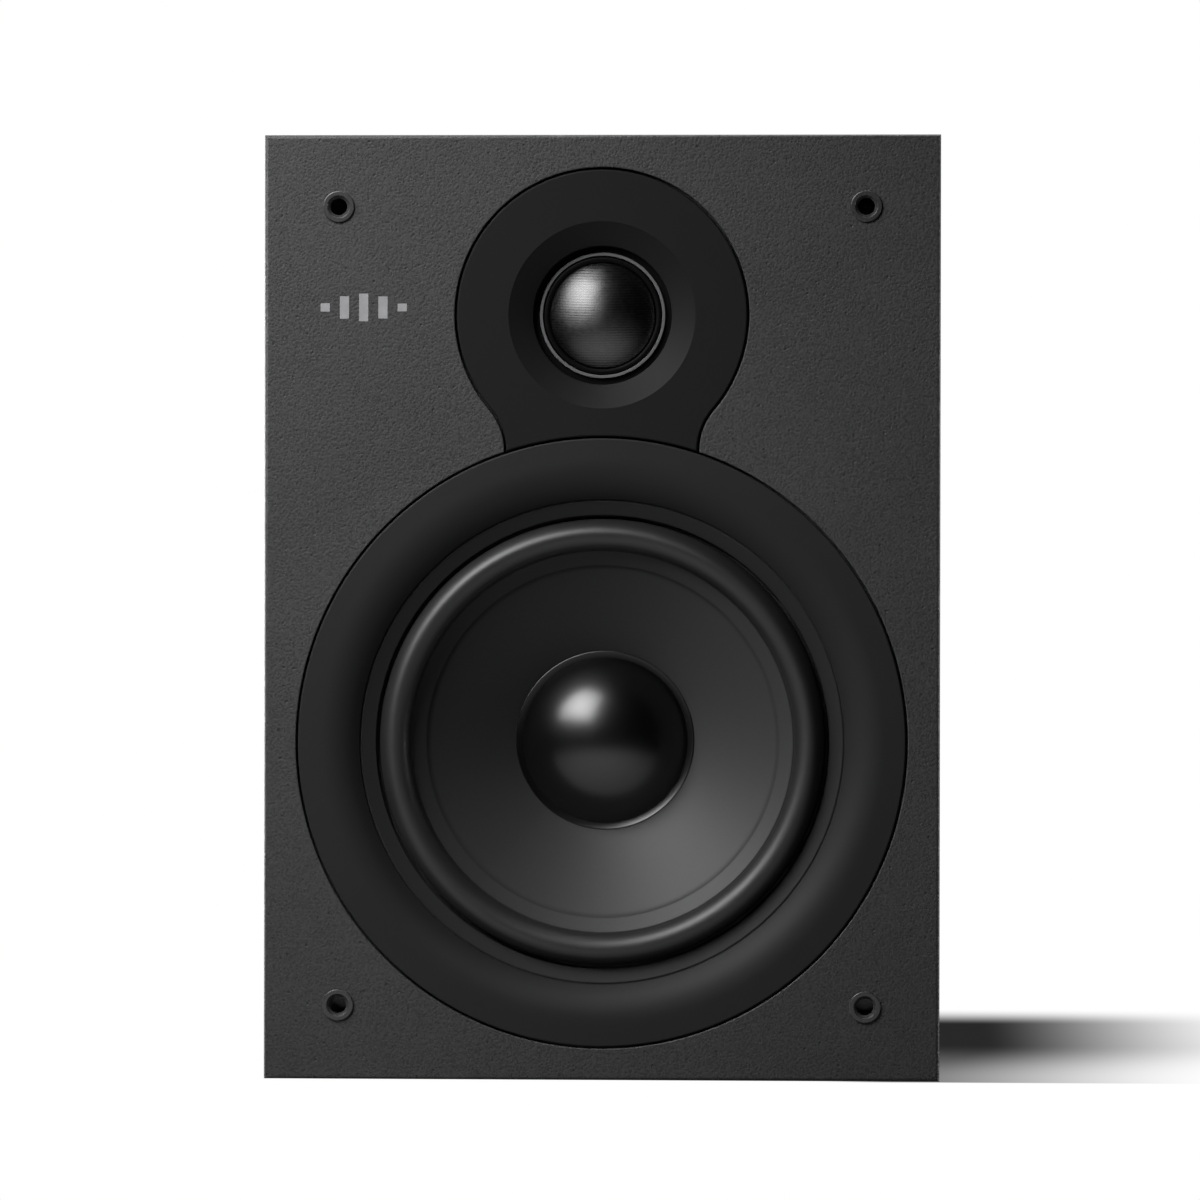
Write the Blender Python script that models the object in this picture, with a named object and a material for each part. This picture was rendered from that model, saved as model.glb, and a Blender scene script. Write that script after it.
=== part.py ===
"""Two-way bookshelf loudspeaker, in metres.

+Z is up and the front faces -Y. The origin is on the floor, under the middle of the cabinet.
Everything on the baffle is placed from an empty on the baffle's front face, and its depth runs back along +Y.
Everything on the back is placed from an empty on the rear panel's outer face, and stands out along +Y.
"""

import math

import bmesh
import bpy
from mathutils import Vector

mm = 0.001
gap = 0.3 * mm  # air left between two pieces that touch
over = 2 * mm  # how far a cutter runs past the face that it cuts
weld = 0.001 * mm
sharp_angle = math.radians(32)
large_steps = 36  # sides of a large round shape
middle_steps = 24
small_steps = 14
screw_steps = 8

# Cabinet
width = 161 * mm
height = 225 * mm
overall_depth = 240 * mm
wall = 12 * mm
baffle_thickness = 18 * mm
baffle_edge = 0.8 * mm
rear_recess = 1 * mm

# Inserts that take the pegs of a grille
socket_proud = 0.6 * mm
socket_inset_x = 17.7 * mm
socket_inset_low = 17.7 * mm
socket_inset_high = 17.1 * mm
socket_radius = 3.7 * mm
socket_flange = 1.1 * mm
socket_body_radius = 2.9 * mm
socket_bore_radius = 2.1 * mm
socket_mouth_radius = 2.7 * mm
socket_depth = 11 * mm
socket_floor = 1 * mm

# Woofer: trim, frame and suspension
woofer_height = 80.4 * mm
groove = 0.5 * mm  # open line round the trim and the tweeter plate
trim_radius = 72.4 * mm
trim_thickness = 3 * mm
trim_wall = 1.2 * mm
trim_edge = 0.4 * mm
bowl_start_radius = 66.5 * mm
bowl_end_radius = 58 * mm
bowl_depth = 4.2 * mm
lip_radius = 53.8 * mm
lip_thickness = 0.8 * mm
surround_flange_radius = 57.3 * mm
surround_thickness = 0.5 * mm
roll_outer_radius = 53.4 * mm
roll_inner_radius = 45.8 * mm
roll_rise = 3.7 * mm
surround_lip_radius = 42 * mm
frame_radius = 66.2 * mm
frame_thickness = 1 * mm
frame_gasket = 0.6 * mm
frame_hole_radius = 57.5 * mm
frame_mouth_radius = 54.6 * mm
frame_waist_radius = 46 * mm
frame_waist_depth = 28 * mm
spider_ledge_radius = 43 * mm
spider_ledge_depth = 30 * mm
frame_base_depth = 36 * mm
frame_base_radius = 33 * mm
frame_neck_clearance = 1.3 * mm
window_count = 6
window_width = 34 * mm
window_start = 11.5 * mm
window_end = 25 * mm

# Woofer: moving parts
cone_edge_depth = 6.3 * mm
cone_cap_depth = 20 * mm
cone_neck_depth = 25.3 * mm
cone_thickness = 0.7 * mm
cap_radius = 21.3 * mm
cap_foot_radius = 19.6 * mm
cap_rise = 11 * mm
cap_thickness = 0.6 * mm
former_inner_radius = 12.5 * mm
former_thickness = 0.3 * mm
former_end_depth = 46.6 * mm
coil_thickness = 0.6 * mm
coil_length = 11 * mm
spider_thickness = 0.5 * mm
spider_waves = 3
spider_wave_rise = 0.9 * mm

# Woofer: motor
pole_clearance = 0.5 * mm
top_plate_thickness = 5 * mm
top_plate_radius = 37 * mm
magnet_radius = 40 * mm
magnet_inner_radius = 20 * mm
magnet_thickness = 15 * mm
back_plate_thickness = 5 * mm

# Screws
screw_count = 4
screw_circle_radius = 62.4 * mm
screw_head_radius = 2.5 * mm
screw_head_height = 1.5 * mm
screw_shank_radius = 1.3 * mm
screw_length = 12 * mm

# Tweeter
tweeter_height = 182.1 * mm
plate_radius = 34.65 * mm
plate_thickness = 3 * mm
neck_half_width = 22.75 * mm
neck_fillet = 15.25 * mm
waveguide_radius = 22.15 * mm
throat_radius = 16.6 * mm
waveguide_depth = 3 * mm
boss_radius = 25 * mm
boss_depth = 5.3 * mm
clamp_radius = 20.3 * mm
throat_depth = 4.6 * mm
tweeter_hole_radius = 28 * mm
dome_radius = 12.5 * mm
dome_foot_depth = 5.2 * mm
dome_rise = 4.7 * mm
dome_thickness = 0.4 * mm
ring_outer_radius = 16 * mm
ring_inner_radius = 12.85 * mm
ring_rise = 1.6 * mm
tweeter_coil_thickness = 0.4 * mm
tweeter_coil_length = 4 * mm
tweeter_plate_radius = 24 * mm
tweeter_plate_thickness = 3 * mm
tweeter_magnet_radius = 27 * mm
tweeter_magnet_inner = 16 * mm
tweeter_magnet_thickness = 8 * mm
tweeter_yoke_thickness = 3 * mm

# Reflex port
port_height = 163 * mm
port_inner_radius = 17 * mm
port_wall = 2 * mm
port_length = 95 * mm
port_flare = 8 * mm
port_collar_radius = 23.5 * mm
port_flange_radius = 30 * mm
port_flange_thickness = 1.5 * mm
inner_flare = 4 * mm

# Terminal cup and binding posts
cup_height = 62 * mm
cup_width = 86 * mm
cup_tall = 58 * mm
cup_corner = 6 * mm
cup_flange = 2.5 * mm
pocket_width = 66 * mm
pocket_tall = 38 * mm
pocket_corner = 8 * mm
pocket_depth = 19 * mm
cup_wall = 2.5 * mm
cup_gasket = 0.8 * mm
post_spacing = 28 * mm
post_radius = 3.4 * mm
post_collar_radius = 6.2 * mm
post_collar = 3 * mm
post_reach = 17.5 * mm
banana_radius = 2.05 * mm
banana_depth = 13 * mm
wire_hole_radius = 1 * mm
post_tail = 8.5 * mm
washer_radius = 6.4 * mm
washer_thickness = 1 * mm
cap_nut_radius = 7.2 * mm
cap_nut_length = 11 * mm
cap_nut_ribs = 12
cap_nut_rib_depth = 0.5 * mm
cap_thread_clearance = 0.3 * mm
nut_radius = 5.2 * mm
nut_thickness = 3 * mm
cup_screw_head_radius = 2.8 * mm
cup_screw_head = 1.7 * mm
cup_screw_radius = 1.4 * mm
cup_screw_length = 10 * mm
cup_screw_inset = 6 * mm

# Crossover
board_width = 92 * mm
board_tall = 66 * mm
board_thickness = 1.6 * mm

# Wadding
wadding_thickness = 14 * mm
wadding_margin = 18 * mm

# Leads
lead_diameter = 3 * mm

# Places worked out from the sizes above
front_face = -overall_depth / 2 + socket_proud
rear_face = overall_depth / 2 - cup_flange - gap - cup_screw_head
carcass_back = rear_face + rear_recess
carcass_front = front_face + baffle_thickness + gap
frame_top = bowl_depth + lip_thickness + gap + surround_thickness + gap
frame_seat = frame_top + frame_thickness + gap + frame_gasket + gap
former_radius = former_inner_radius + former_thickness
top_plate_depth = frame_base_depth + frame_thickness + gap
magnet_depth = top_plate_depth + top_plate_thickness + gap
back_plate_depth = magnet_depth + magnet_thickness + gap
coil_radius = former_radius + gap + coil_thickness
frame_neck_radius = coil_radius + frame_neck_clearance
tweeter_plate_depth = boss_depth + gap
tweeter_magnet_depth = tweeter_plate_depth + tweeter_plate_thickness + gap
tweeter_yoke_depth = tweeter_magnet_depth + tweeter_magnet_thickness + gap
tweeter_coil_radius = dome_radius + tweeter_coil_thickness
cup_front = cup_flange  # how far the cup's flange stands out from the rear panel
pocket_floor = cup_front - pocket_depth
board_face = pocket_floor - cup_wall - gap


def clear_scene():
    for old in list(bpy.data.objects):
        bpy.data.objects.remove(old)


def surface(name, colour, roughness, metallic=0.0):
    made = bpy.data.materials.new(name)
    made.use_nodes = True
    shader = made.node_tree.nodes["Principled BSDF"]
    shader.inputs["Base Color"].default_value = (*colour, 1.0)
    shader.inputs["Roughness"].default_value = roughness
    shader.inputs["Metallic"].default_value = metallic
    return made


def empty(name, at):
    made = bpy.data.objects.new(name, None)
    made.location = at
    bpy.context.scene.collection.objects.link(made)
    return made


# Shapes


def turned(outline, steps):
    """A solid turned about the Y axis from (radius, depth) corners."""
    bm = bmesh.new()
    corners = [bm.verts.new((radius, depth, 0)) for radius, depth in outline]
    edges = [bm.edges.new(pair) for pair in zip(corners, corners[1:])]
    if outline[0][0] > 0:
        edges.append(bm.edges.new((corners[-1], corners[0])))
    bmesh.ops.spin(
        bm,
        geom=corners + edges,
        cent=(0, 0, 0),
        axis=(0, 1, 0),
        angle=2 * math.pi,
        steps=steps,
        use_merge=True,
    )
    return bm


def prism(outline, near, far):
    """A solid with an (x, z) outline, from depth near to depth far."""
    bm = bmesh.new()
    face = bm.faces.new([bm.verts.new((x, near, z)) for x, z in outline])
    grown = bmesh.ops.extrude_face_region(bm, geom=[face])["geom"]
    moved = [item for item in grown if isinstance(item, bmesh.types.BMVert)]
    bmesh.ops.translate(bm, verts=moved, vec=(0, far - near, 0))
    return bm


def block(low, high):
    """A box between two corners."""
    bm = bmesh.new()
    bmesh.ops.create_cube(bm, size=1)
    middle = (Vector(low) + Vector(high)) / 2
    bmesh.ops.scale(bm, verts=bm.verts, vec=Vector(high) - Vector(low))
    bmesh.ops.translate(bm, verts=bm.verts, vec=middle)
    return bm


def arc(centre, radius, start, end, pieces):
    """Points on an arc, angles in radians, both ends included."""
    turns = [start + (end - start) * n / pieces for n in range(pieces + 1)]
    return [(centre[0] + radius * math.cos(t), centre[1] + radius * math.sin(t)) for t in turns]


def rounded_rectangle(wide, tall, corner, pieces=3):
    points = []
    for quarter, (sx, sz) in enumerate(((1, 1), (-1, 1), (-1, -1), (1, -1))):
        centre = (sx * (wide / 2 - corner), sz * (tall / 2 - corner))
        points += arc(centre, corner, quarter * math.pi / 2, (quarter + 1) * math.pi / 2, pieces)
    return points


def place(name, bm, finish, parent, at=(0, 0, 0), turn=0.0):
    """Puts a mesh in the scene as one named piece. turn is about the Y axis."""
    bmesh.ops.remove_doubles(bm, verts=bm.verts, dist=weld)
    bmesh.ops.recalc_face_normals(bm, faces=bm.faces)
    if bm.calc_volume(signed=True) < 0:
        bmesh.ops.reverse_faces(bm, faces=bm.faces)
    mesh = bpy.data.meshes.new(name)
    bm.to_mesh(mesh)
    bm.free()
    mesh.shade_smooth()
    mesh.set_sharp_from_angle(angle=sharp_angle)
    mesh.materials.append(finish)
    made = bpy.data.objects.new(name, mesh)
    made.parent = parent
    made.location = at
    made.rotation_euler = (0, turn, 0)
    bpy.context.scene.collection.objects.link(made)
    return made


def cutter(name, bm, parent, at=(0, 0, 0), turn=0.0):
    made = place(name, bm, cutter_finish, parent, at, turn)
    made.hide_render = True
    made.display_type = "WIRE"
    return made


def combine(target, other, operation="DIFFERENCE"):
    modifier = target.modifiers.new(other.name, "BOOLEAN")
    modifier.object = other
    modifier.operation = operation


# Cabinet


def make_carcass(finish):
    """Four mitred panels round the cabinet, from the baffle to the back."""
    half = width / 2
    slack = gap / math.sqrt(2)
    near, far = carcass_front, carcass_back
    across = [(slack - half, 0), (half - slack, 0), (half - wall - slack, wall), (wall + slack - half, wall)]
    upright = [(-half, slack), (-half, height - slack), (wall - half, height - wall - slack), (wall - half, wall + slack)]
    place("bottom_panel", prism(across, near, far), finish, None)
    place("top_panel", prism([(x, height - z) for x, z in across], near, far), finish, None)
    place("left_panel", prism(upright, near, far), finish, None)
    place("right_panel", prism([(-x, z) for x, z in upright], near, far), finish, None)


def keyhole(grow, low_radius):
    """Outline of the tweeter plate about the tweeter's axis: a disc, two fillets and a foot that follows the woofer."""
    centre_x = neck_half_width + neck_fillet
    reach = plate_radius + neck_fillet
    lean = math.acos(centre_x / reach)
    fillet_centre = (centre_x, -reach * math.sin(lean))
    down = tweeter_height - woofer_height
    side = neck_half_width + grow
    foot = math.asin(side / low_radius)
    points = arc((0, 0), plate_radius + grow, -lean, math.pi + lean, 28)
    left = arc((-fillet_centre[0], fillet_centre[1]), neck_fillet - grow, lean, 0, 5)
    floor = arc((0, -down), low_radius, math.pi / 2 + foot, math.pi / 2 - foot, 8)
    right = arc(fillet_centre, neck_fillet - grow, math.pi, math.pi - lean, 5)
    lowest_side = fillet_centre[1] - 0.1 * mm
    floor = [(x, min(z, lowest_side) if abs(x) > side - weld else z) for x, z in floor]
    return points + left[1:] + floor + right[:-1]


def make_baffle(finish):
    board = block((-width / 2, 0, 0), (width / 2, baffle_thickness, height))
    front_edges = [e for e in board.edges if all(v.co.y < weld for v in e.verts)]
    bmesh.ops.bevel(board, geom=front_edges, offset=baffle_edge, segments=2, profile=0.5, affect="EDGES")
    baffle = place("front_baffle", board, finish, None, (0, front_face, 0))
    far = baffle_thickness + over
    trim_seat = trim_thickness + gap
    woofer_steps = [
        (0, -over),
        (trim_radius + groove, -over),
        (trim_radius + groove, trim_seat),
        (frame_radius + gap, trim_seat),
        (frame_radius + gap, frame_seat),
        (frame_hole_radius, frame_seat),
        (frame_hole_radius, far),
        (0, far),
    ]
    combine(baffle, cutter("cut_woofer", turned(woofer_steps, large_steps), woofer_axis))
    seat = keyhole(groove, trim_radius - over)
    combine(baffle, cutter("cut_plate", prism(seat, -over, trim_seat), tweeter_axis))
    hole = [(0, 0), (tweeter_hole_radius, 0), (tweeter_hole_radius, far), (0, far)]
    combine(baffle, cutter("cut_tweeter", turned(hole, middle_steps), tweeter_axis))
    flange_seat = socket_flange - socket_proud + gap
    socket_steps = [
        (0, -over),
        (socket_radius + gap, -over),
        (socket_radius + gap, flange_seat),
        (socket_body_radius + gap, flange_seat),
        (socket_body_radius + gap, socket_depth + gap),
        (0, socket_depth + gap),
    ]
    for name, at in socket_places():
        combine(baffle, cutter("cut_" + name, turned(socket_steps, small_steps), baffle_middle, at))


def socket_places():
    side = width / 2 - socket_inset_x
    levels = {"upper": height - socket_inset_high, "lower": socket_inset_low}
    for level, up in levels.items():
        for hand, x in (("left", -side), ("right", side)):
            yield f"grille_socket_{level}_{hand}", (x, 0, up)


def make_sockets(finish):
    mouth = socket_mouth_radius - socket_bore_radius
    outline = [
        (0, socket_depth - socket_floor),
        (socket_bore_radius, socket_depth - socket_floor),
        (socket_bore_radius, mouth - socket_proud),
        (socket_mouth_radius, -socket_proud),
        (socket_radius, -socket_proud),
        (socket_radius, socket_flange - socket_proud),
        (socket_body_radius, socket_flange - socket_proud),
        (socket_body_radius, socket_depth),
        (0, socket_depth),
    ]
    for name, at in socket_places():
        place(name, turned(outline, small_steps), finish, baffle_middle, at)


def make_rear_panel(finish):
    side = width / 2 - wall - gap
    low, high = wall + gap, height - wall - gap
    board = block((-side, -wall, low), (side, 0, high))
    rear = place("rear_panel", board, finish, rear_middle)
    port_hole = port_collar_radius + gap
    hole = [(0, -wall - over), (port_hole, -wall - over), (port_hole, over), (0, over)]
    combine(rear, cutter("cut_port", turned(hole, middle_steps), port_axis))
    pocket = rounded_rectangle(pocket_width + 2 * (cup_wall + gap), pocket_tall + 2 * (cup_wall + gap), pocket_corner)
    combine(rear, cutter("cut_cup", prism(pocket, -wall - over, over), cup_axis))
    screw_hole = cup_screw_radius + gap
    deep = cup_screw_length + gap
    pilot = [(0, -deep), (screw_hole, -deep), (screw_hole, over), (0, over)]
    for index, (x, z) in enumerate(cup_screw_places()):
        combine(rear, cutter(f"cut_cup_screw_{index}", turned(pilot, screw_steps), cup_axis, (x, 0, z)))


# Woofer


def bowl(radial, deep, start=0.0, end=1.0, pieces=5):
    """Quarter ellipse from the trim's flat face down to its lip, as (radius, depth). radial and deep shrink it."""
    points = []
    for n in range(pieces + 1):
        turn = math.pi / 2 * (start + (end - start) * n / pieces)
        across = (bowl_start_radius - bowl_end_radius - radial) * math.sin(turn)
        points.append((bowl_start_radius - across, (bowl_depth - deep) * (1 - math.cos(turn)) + deep))
    return points


def make_trim(finish):
    lip_back = bowl_depth + lip_thickness
    outline = [(trim_radius, trim_edge), (trim_radius - trim_edge, 0)]
    outline += bowl(0, 0)
    outline += [(lip_radius, bowl_depth), (lip_radius, lip_back)]
    inner = bowl(trim_wall, trim_wall, 0.1, 1.0, 3)
    outline += [(bowl_end_radius + trim_wall, lip_back)] + inner[::-1]
    outline += [(bowl_start_radius + gap, trim_thickness), (trim_radius, trim_thickness)]
    place("woofer_trim_ring", turned(outline, large_steps), finish, woofer_axis)


def cone_depth(radius):
    """Depth of the cone's front face: a flare that steepens towards the neck."""
    low, high = former_radius + gap, roll_inner_radius
    share = (high - radius) / (high - low)
    bend = 0.86
    return cone_edge_depth + (cone_neck_depth - cone_edge_depth) * (bend * share + (1 - bend) * share**3)


def roll(radial, rise, pieces):
    """Half ellipse over the surround's roll, from outside to inside, as (radius, height above its foot)."""
    middle = (roll_outer_radius + roll_inner_radius) / 2
    half = (roll_outer_radius - roll_inner_radius) / 2 - radial
    turns = [math.pi * n / pieces for n in range(pieces + 1)]
    return [(middle + half * math.cos(t), rise * math.sin(t)) for t in turns]


def make_suspension(rubber, cloth):
    foot = bowl_depth + lip_thickness + gap
    middle = (surround_lip_radius + roll_inner_radius) / 2
    lift = gap + surround_thickness
    front = [(surround_flange_radius, foot)]
    front += [(radius, foot - up) for radius, up in roll(0, roll_rise, 6)]
    front += [(radius, cone_depth(radius) - lift) for radius in (middle, surround_lip_radius)]
    back = [(radius, cone_depth(radius) - gap) for radius in (surround_lip_radius, middle)]
    under = roll(surround_thickness, roll_rise - surround_thickness, 5)
    back += [(radius, foot + surround_thickness - up) for radius, up in under[::-1]]
    back += [(surround_flange_radius, foot + surround_thickness)]
    place("woofer_surround", turned(front + back, large_steps), rubber, woofer_axis)

    level = spider_ledge_depth - gap - spider_thickness
    start, end = former_radius + gap, frame_base_radius - 0.5 * mm
    pieces = spider_waves * 2
    wave = []
    for n in range(pieces + 1):
        radius = start + (end - start) * n / pieces
        wave.append((radius, level - spider_wave_rise * math.cos(math.pi * n)))
    edge = (spider_ledge_radius - gap, level)
    outline = wave + [edge] + [(radius, depth + spider_thickness) for radius, depth in [edge] + wave[::-1]]
    place("woofer_spider", turned(outline, middle_steps), cloth, woofer_axis)


def make_basket(steel, foam):
    t = frame_thickness
    outline = [
        (frame_radius, frame_top),
        (frame_mouth_radius, frame_top),
        (frame_waist_radius, frame_waist_depth),
        (spider_ledge_radius, spider_ledge_depth),
        (frame_base_radius, spider_ledge_depth),
        (frame_base_radius, frame_base_depth),
        (frame_neck_radius, frame_base_depth),
        (frame_neck_radius, frame_base_depth + t),
        (frame_base_radius + t, frame_base_depth + t),
        (frame_base_radius + t, spider_ledge_depth + t),
        (spider_ledge_radius + 0.4 * t, spider_ledge_depth + t),
        (frame_waist_radius + t, frame_waist_depth + 0.5 * t),
        (frame_mouth_radius + 0.6 * t, frame_top + t),
        (frame_radius, frame_top + t),
    ]
    half_facet = math.pi / middle_steps
    basket = place("woofer_basket", turned(outline, middle_steps), steel, woofer_axis, turn=half_facet)
    for n in range(window_count // 2):
        slot = block((-frame_radius, window_start, -window_width / 2), (frame_radius, window_end, window_width / 2))
        turn = math.pi * (2 * n + 1) / window_count
        combine(basket, cutter(f"cut_window_{n}", slot, woofer_axis, turn=turn))
    hole = screw_shank_radius + gap
    drill = [(0, frame_top - over), (hole, frame_top - over), (hole, frame_top + t + over), (0, frame_top + t + over)]
    for n, at in enumerate(woofer_screw_places()):
        combine(basket, cutter(f"cut_frame_screw_{n}", turned(drill, screw_steps), woofer_axis, at))

    near = frame_top + t + gap
    far = near + frame_gasket
    ring = [(frame_hole_radius + 0.5 * mm, near), (frame_hole_radius + 0.5 * mm, far)]
    ring += [(screw_circle_radius - hole - gap, far), (screw_circle_radius - hole - gap, near)]
    place("woofer_gasket", turned(ring, middle_steps), foam, woofer_axis)


def woofer_screw_places():
    for n in range(screw_count):
        turn = math.pi / 4 + 2 * math.pi * n / screw_count
        yield (screw_circle_radius * math.cos(turn), 0, screw_circle_radius * math.sin(turn))


def make_woofer_screws(steel):
    """Pan-head screws through the frame. Each bites a pilot hole in the baffle."""
    seat = frame_top - gap
    top = seat - screw_head_height
    outline = [
        (0, top),
        (screw_head_radius * 0.6, top),
        (screw_head_radius, top + screw_head_height * 0.5),
        (screw_head_radius, seat),
        (screw_shank_radius, seat),
        (screw_shank_radius, seat + screw_length - 1.5 * mm),
        (0.3 * mm, seat + screw_length),
        (0, seat + screw_length),
    ]
    pilot = screw_shank_radius + gap
    end = seat + screw_length + gap
    drill = [(0, frame_seat - over), (pilot, frame_seat - over), (pilot, end), (0, end)]
    baffle = bpy.data.objects["front_baffle"]
    for n, at in enumerate(woofer_screw_places()):
        place(f"woofer_screw_{n + 1}", turned(outline, screw_steps), steel, woofer_axis, at)
        combine(baffle, cutter(f"cut_pilot_{n}", turned(drill, screw_steps), woofer_axis, at))


def sphere_arc(radius, widest, crown, pieces):
    """Section of a dome whose top is at depth crown, as (radius, depth) from its middle outwards."""
    turns = [widest * n / pieces for n in range(pieces + 1)]
    return [(radius * math.sin(turn), crown + radius * (1 - math.cos(turn))) for turn in turns]


def make_cone_assembly(paper, glossy, aluminium, copper):
    neck, edge = former_radius + gap, roll_inner_radius - gap
    steps = [neck + (edge - neck) * n / 5 for n in range(6)]
    front = [(radius, cone_depth(radius)) for radius in steps]
    back = [(radius, depth + cone_thickness) for radius, depth in front[::-1]]
    place("woofer_cone", turned(front + back, large_steps), paper, woofer_moving)

    t = cap_thickness
    rim = cone_depth(cap_radius) - gap
    foot = cone_depth(cap_foot_radius) - gap
    sphere = (cap_foot_radius**2 + cap_rise**2) / (2 * cap_rise)
    widest = math.asin(cap_foot_radius / sphere)
    crown = foot - t - cap_rise
    dome = sphere_arc(sphere, widest, crown, 6)
    inner = sphere_arc(sphere - t, widest, crown + t, 5)[:-1]
    outline = dome + [(cap_radius, rim - t), (cap_radius, rim), (cap_foot_radius, foot)] + inner[::-1]
    place("woofer_dust_cap", turned(outline, middle_steps), glossy, woofer_moving)

    top = cone_neck_depth - 0.6 * mm
    tube = [(former_inner_radius, top), (former_inner_radius, former_end_depth)]
    tube += [(former_radius, former_end_depth), (former_radius, top)]
    place("voice_coil_former", turned(tube, middle_steps), aluminium, woofer_moving)
    middle = top_plate_depth + top_plate_thickness / 2
    low, high = middle - coil_length / 2, middle + coil_length / 2
    winding = [(former_radius + gap, low), (former_radius + gap, high), (coil_radius, high), (coil_radius, low)]
    place("voice_coil_winding", turned(winding, middle_steps), copper, woofer_moving)


def ring_outline(inner, outer, near, far):
    return [(inner, near), (inner, far), (outer, far), (outer, near)]


def make_woofer_motor(steel, ferrite):
    plate = ring_outline(coil_radius + 0.6 * mm, top_plate_radius, top_plate_depth, top_plate_depth + top_plate_thickness)
    place("woofer_top_plate", turned(plate, middle_steps), steel, woofer_axis)
    ring = ring_outline(magnet_inner_radius, magnet_radius, magnet_depth, magnet_depth + magnet_thickness)
    place("woofer_magnet", turned(ring, middle_steps), ferrite, woofer_axis)
    pole = former_inner_radius - pole_clearance
    end = back_plate_depth + back_plate_thickness
    yoke = [
        (0, top_plate_depth),
        (pole - 0.6 * mm, top_plate_depth),
        (pole, top_plate_depth + 0.6 * mm),
        (pole, back_plate_depth),
        (top_plate_radius, back_plate_depth),
        (top_plate_radius, end - 1 * mm),
        (top_plate_radius - 1 * mm, end),
        (0, end),
    ]
    place("woofer_pole_yoke", turned(yoke, middle_steps), steel, woofer_axis)


def make_woofer_strip(finish):
    """Tag strip on the side of the basket's base, for the leads."""
    near = frame_base_radius + frame_thickness + gap
    low = (near, frame_base_depth - 2.4 * mm, -8 * mm)
    high = (near + 9 * mm, frame_base_depth - 0.8 * mm, 8 * mm)
    strip = place("woofer_tag_strip", block(low, high), finish, woofer_axis)
    for n, z in enumerate((-4.5 * mm, 4.5 * mm)):
        tag = block((near + 4 * mm, low[1] - 2 * mm, z - 1.2 * mm), (near + 12 * mm, low[1] + 0.4 * mm, z + 1.2 * mm))
        combine(strip, cutter(f"add_tag_{n}", tag, woofer_axis), "UNION")


# Tweeter


def make_tweeter_plate(finish):
    """Flat plate with a foot that follows the woofer, a boss behind it and a conical mouth."""
    outline = keyhole(0, trim_radius + groove)
    plate = place("tweeter_faceplate", prism(outline, 0, plate_thickness), finish, tweeter_axis)
    bevel = plate.modifiers.new("edge", "BEVEL")
    bevel.width = 0.35 * mm
    bevel.segments = 2
    bevel.limit_method = "ANGLE"
    bevel.angle_limit = math.radians(60)
    boss = [(0, plate_thickness / 2), (boss_radius, plate_thickness / 2), (boss_radius, boss_depth), (0, boss_depth)]
    combine(plate, cutter("add_boss", turned(boss, middle_steps), tweeter_axis), "UNION")
    slope = (waveguide_radius - throat_radius) / waveguide_depth
    mouth = [
        (0, -over),
        (waveguide_radius + slope * over, -over),
        (throat_radius, waveguide_depth),
        (throat_radius, throat_depth),
        (clamp_radius, throat_depth),
        (clamp_radius, boss_depth + over),
        (0, boss_depth + over),
    ]
    combine(plate, cutter("cut_mouth", turned(mouth, middle_steps), tweeter_axis))


def make_tweeter_diaphragm(silk, copper):
    t = dome_thickness
    foot = dome_foot_depth
    sphere = (dome_radius**2 + dome_rise**2) / (2 * dome_rise)
    widest = math.asin(dome_radius / sphere)
    crown = foot - t - dome_rise
    outer = sphere_arc(sphere, widest, crown, 6)
    inner = sphere_arc(sphere - t, widest, crown + t, 5)[:-1]
    outline = outer + [(dome_radius, foot), ((sphere - t) * math.sin(widest), foot)] + inner[::-1]
    place("tweeter_dome", turned(outline, middle_steps), silk, tweeter_moving)

    low = foot + gap
    coil_inner = dome_radius
    end = low + tweeter_coil_length
    winding = [(coil_inner, low), (coil_inner, end), (tweeter_coil_radius, end), (tweeter_coil_radius, low)]
    place("tweeter_voice_coil", turned(winding, middle_steps), copper, tweeter_moving)

    level = throat_depth + gap
    middle, half = (ring_outer_radius + ring_inner_radius) / 2, (ring_outer_radius - ring_inner_radius) / 2
    turns = [math.pi * n / 6 for n in range(7)]
    over_roll = [(middle + half * math.cos(turn), level - ring_rise * math.sin(turn)) for turn in turns]
    small, low_rise = half - t * 0.8, ring_rise - t
    turns = [math.pi * n / 4 for n in range(5)]
    under = [(middle - small * math.cos(turn), level + t - low_rise * math.sin(turn)) for turn in turns]
    flange = clamp_radius - gap
    outline = [(flange, level)] + over_roll + [(ring_inner_radius, level + t)] + under + [(flange, level + t)]
    place("tweeter_surround", turned(outline, middle_steps), silk, tweeter_axis)


def make_tweeter_motor(steel, ferrite):
    near = tweeter_plate_depth
    plate = ring_outline(tweeter_coil_radius + 0.5 * mm, tweeter_plate_radius, near, near + tweeter_plate_thickness)
    place("tweeter_top_plate", turned(plate, middle_steps), steel, tweeter_axis)
    near = tweeter_magnet_depth
    ring = ring_outline(tweeter_magnet_inner, tweeter_magnet_radius, near, near + tweeter_magnet_thickness)
    place("tweeter_magnet", turned(ring, middle_steps), ferrite, tweeter_axis)
    pole = dome_radius - 0.5 * mm
    end = tweeter_yoke_depth + tweeter_yoke_thickness
    yoke = [
        (0, tweeter_plate_depth + 0.4 * mm),
        (pole, tweeter_plate_depth + 0.4 * mm),
        (pole, tweeter_yoke_depth),
        (tweeter_plate_radius, tweeter_yoke_depth),
        (tweeter_plate_radius, end),
        (0, end),
    ]
    place("tweeter_pole_yoke", turned(yoke, middle_steps), steel, tweeter_axis)


# Back of the cabinet


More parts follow.
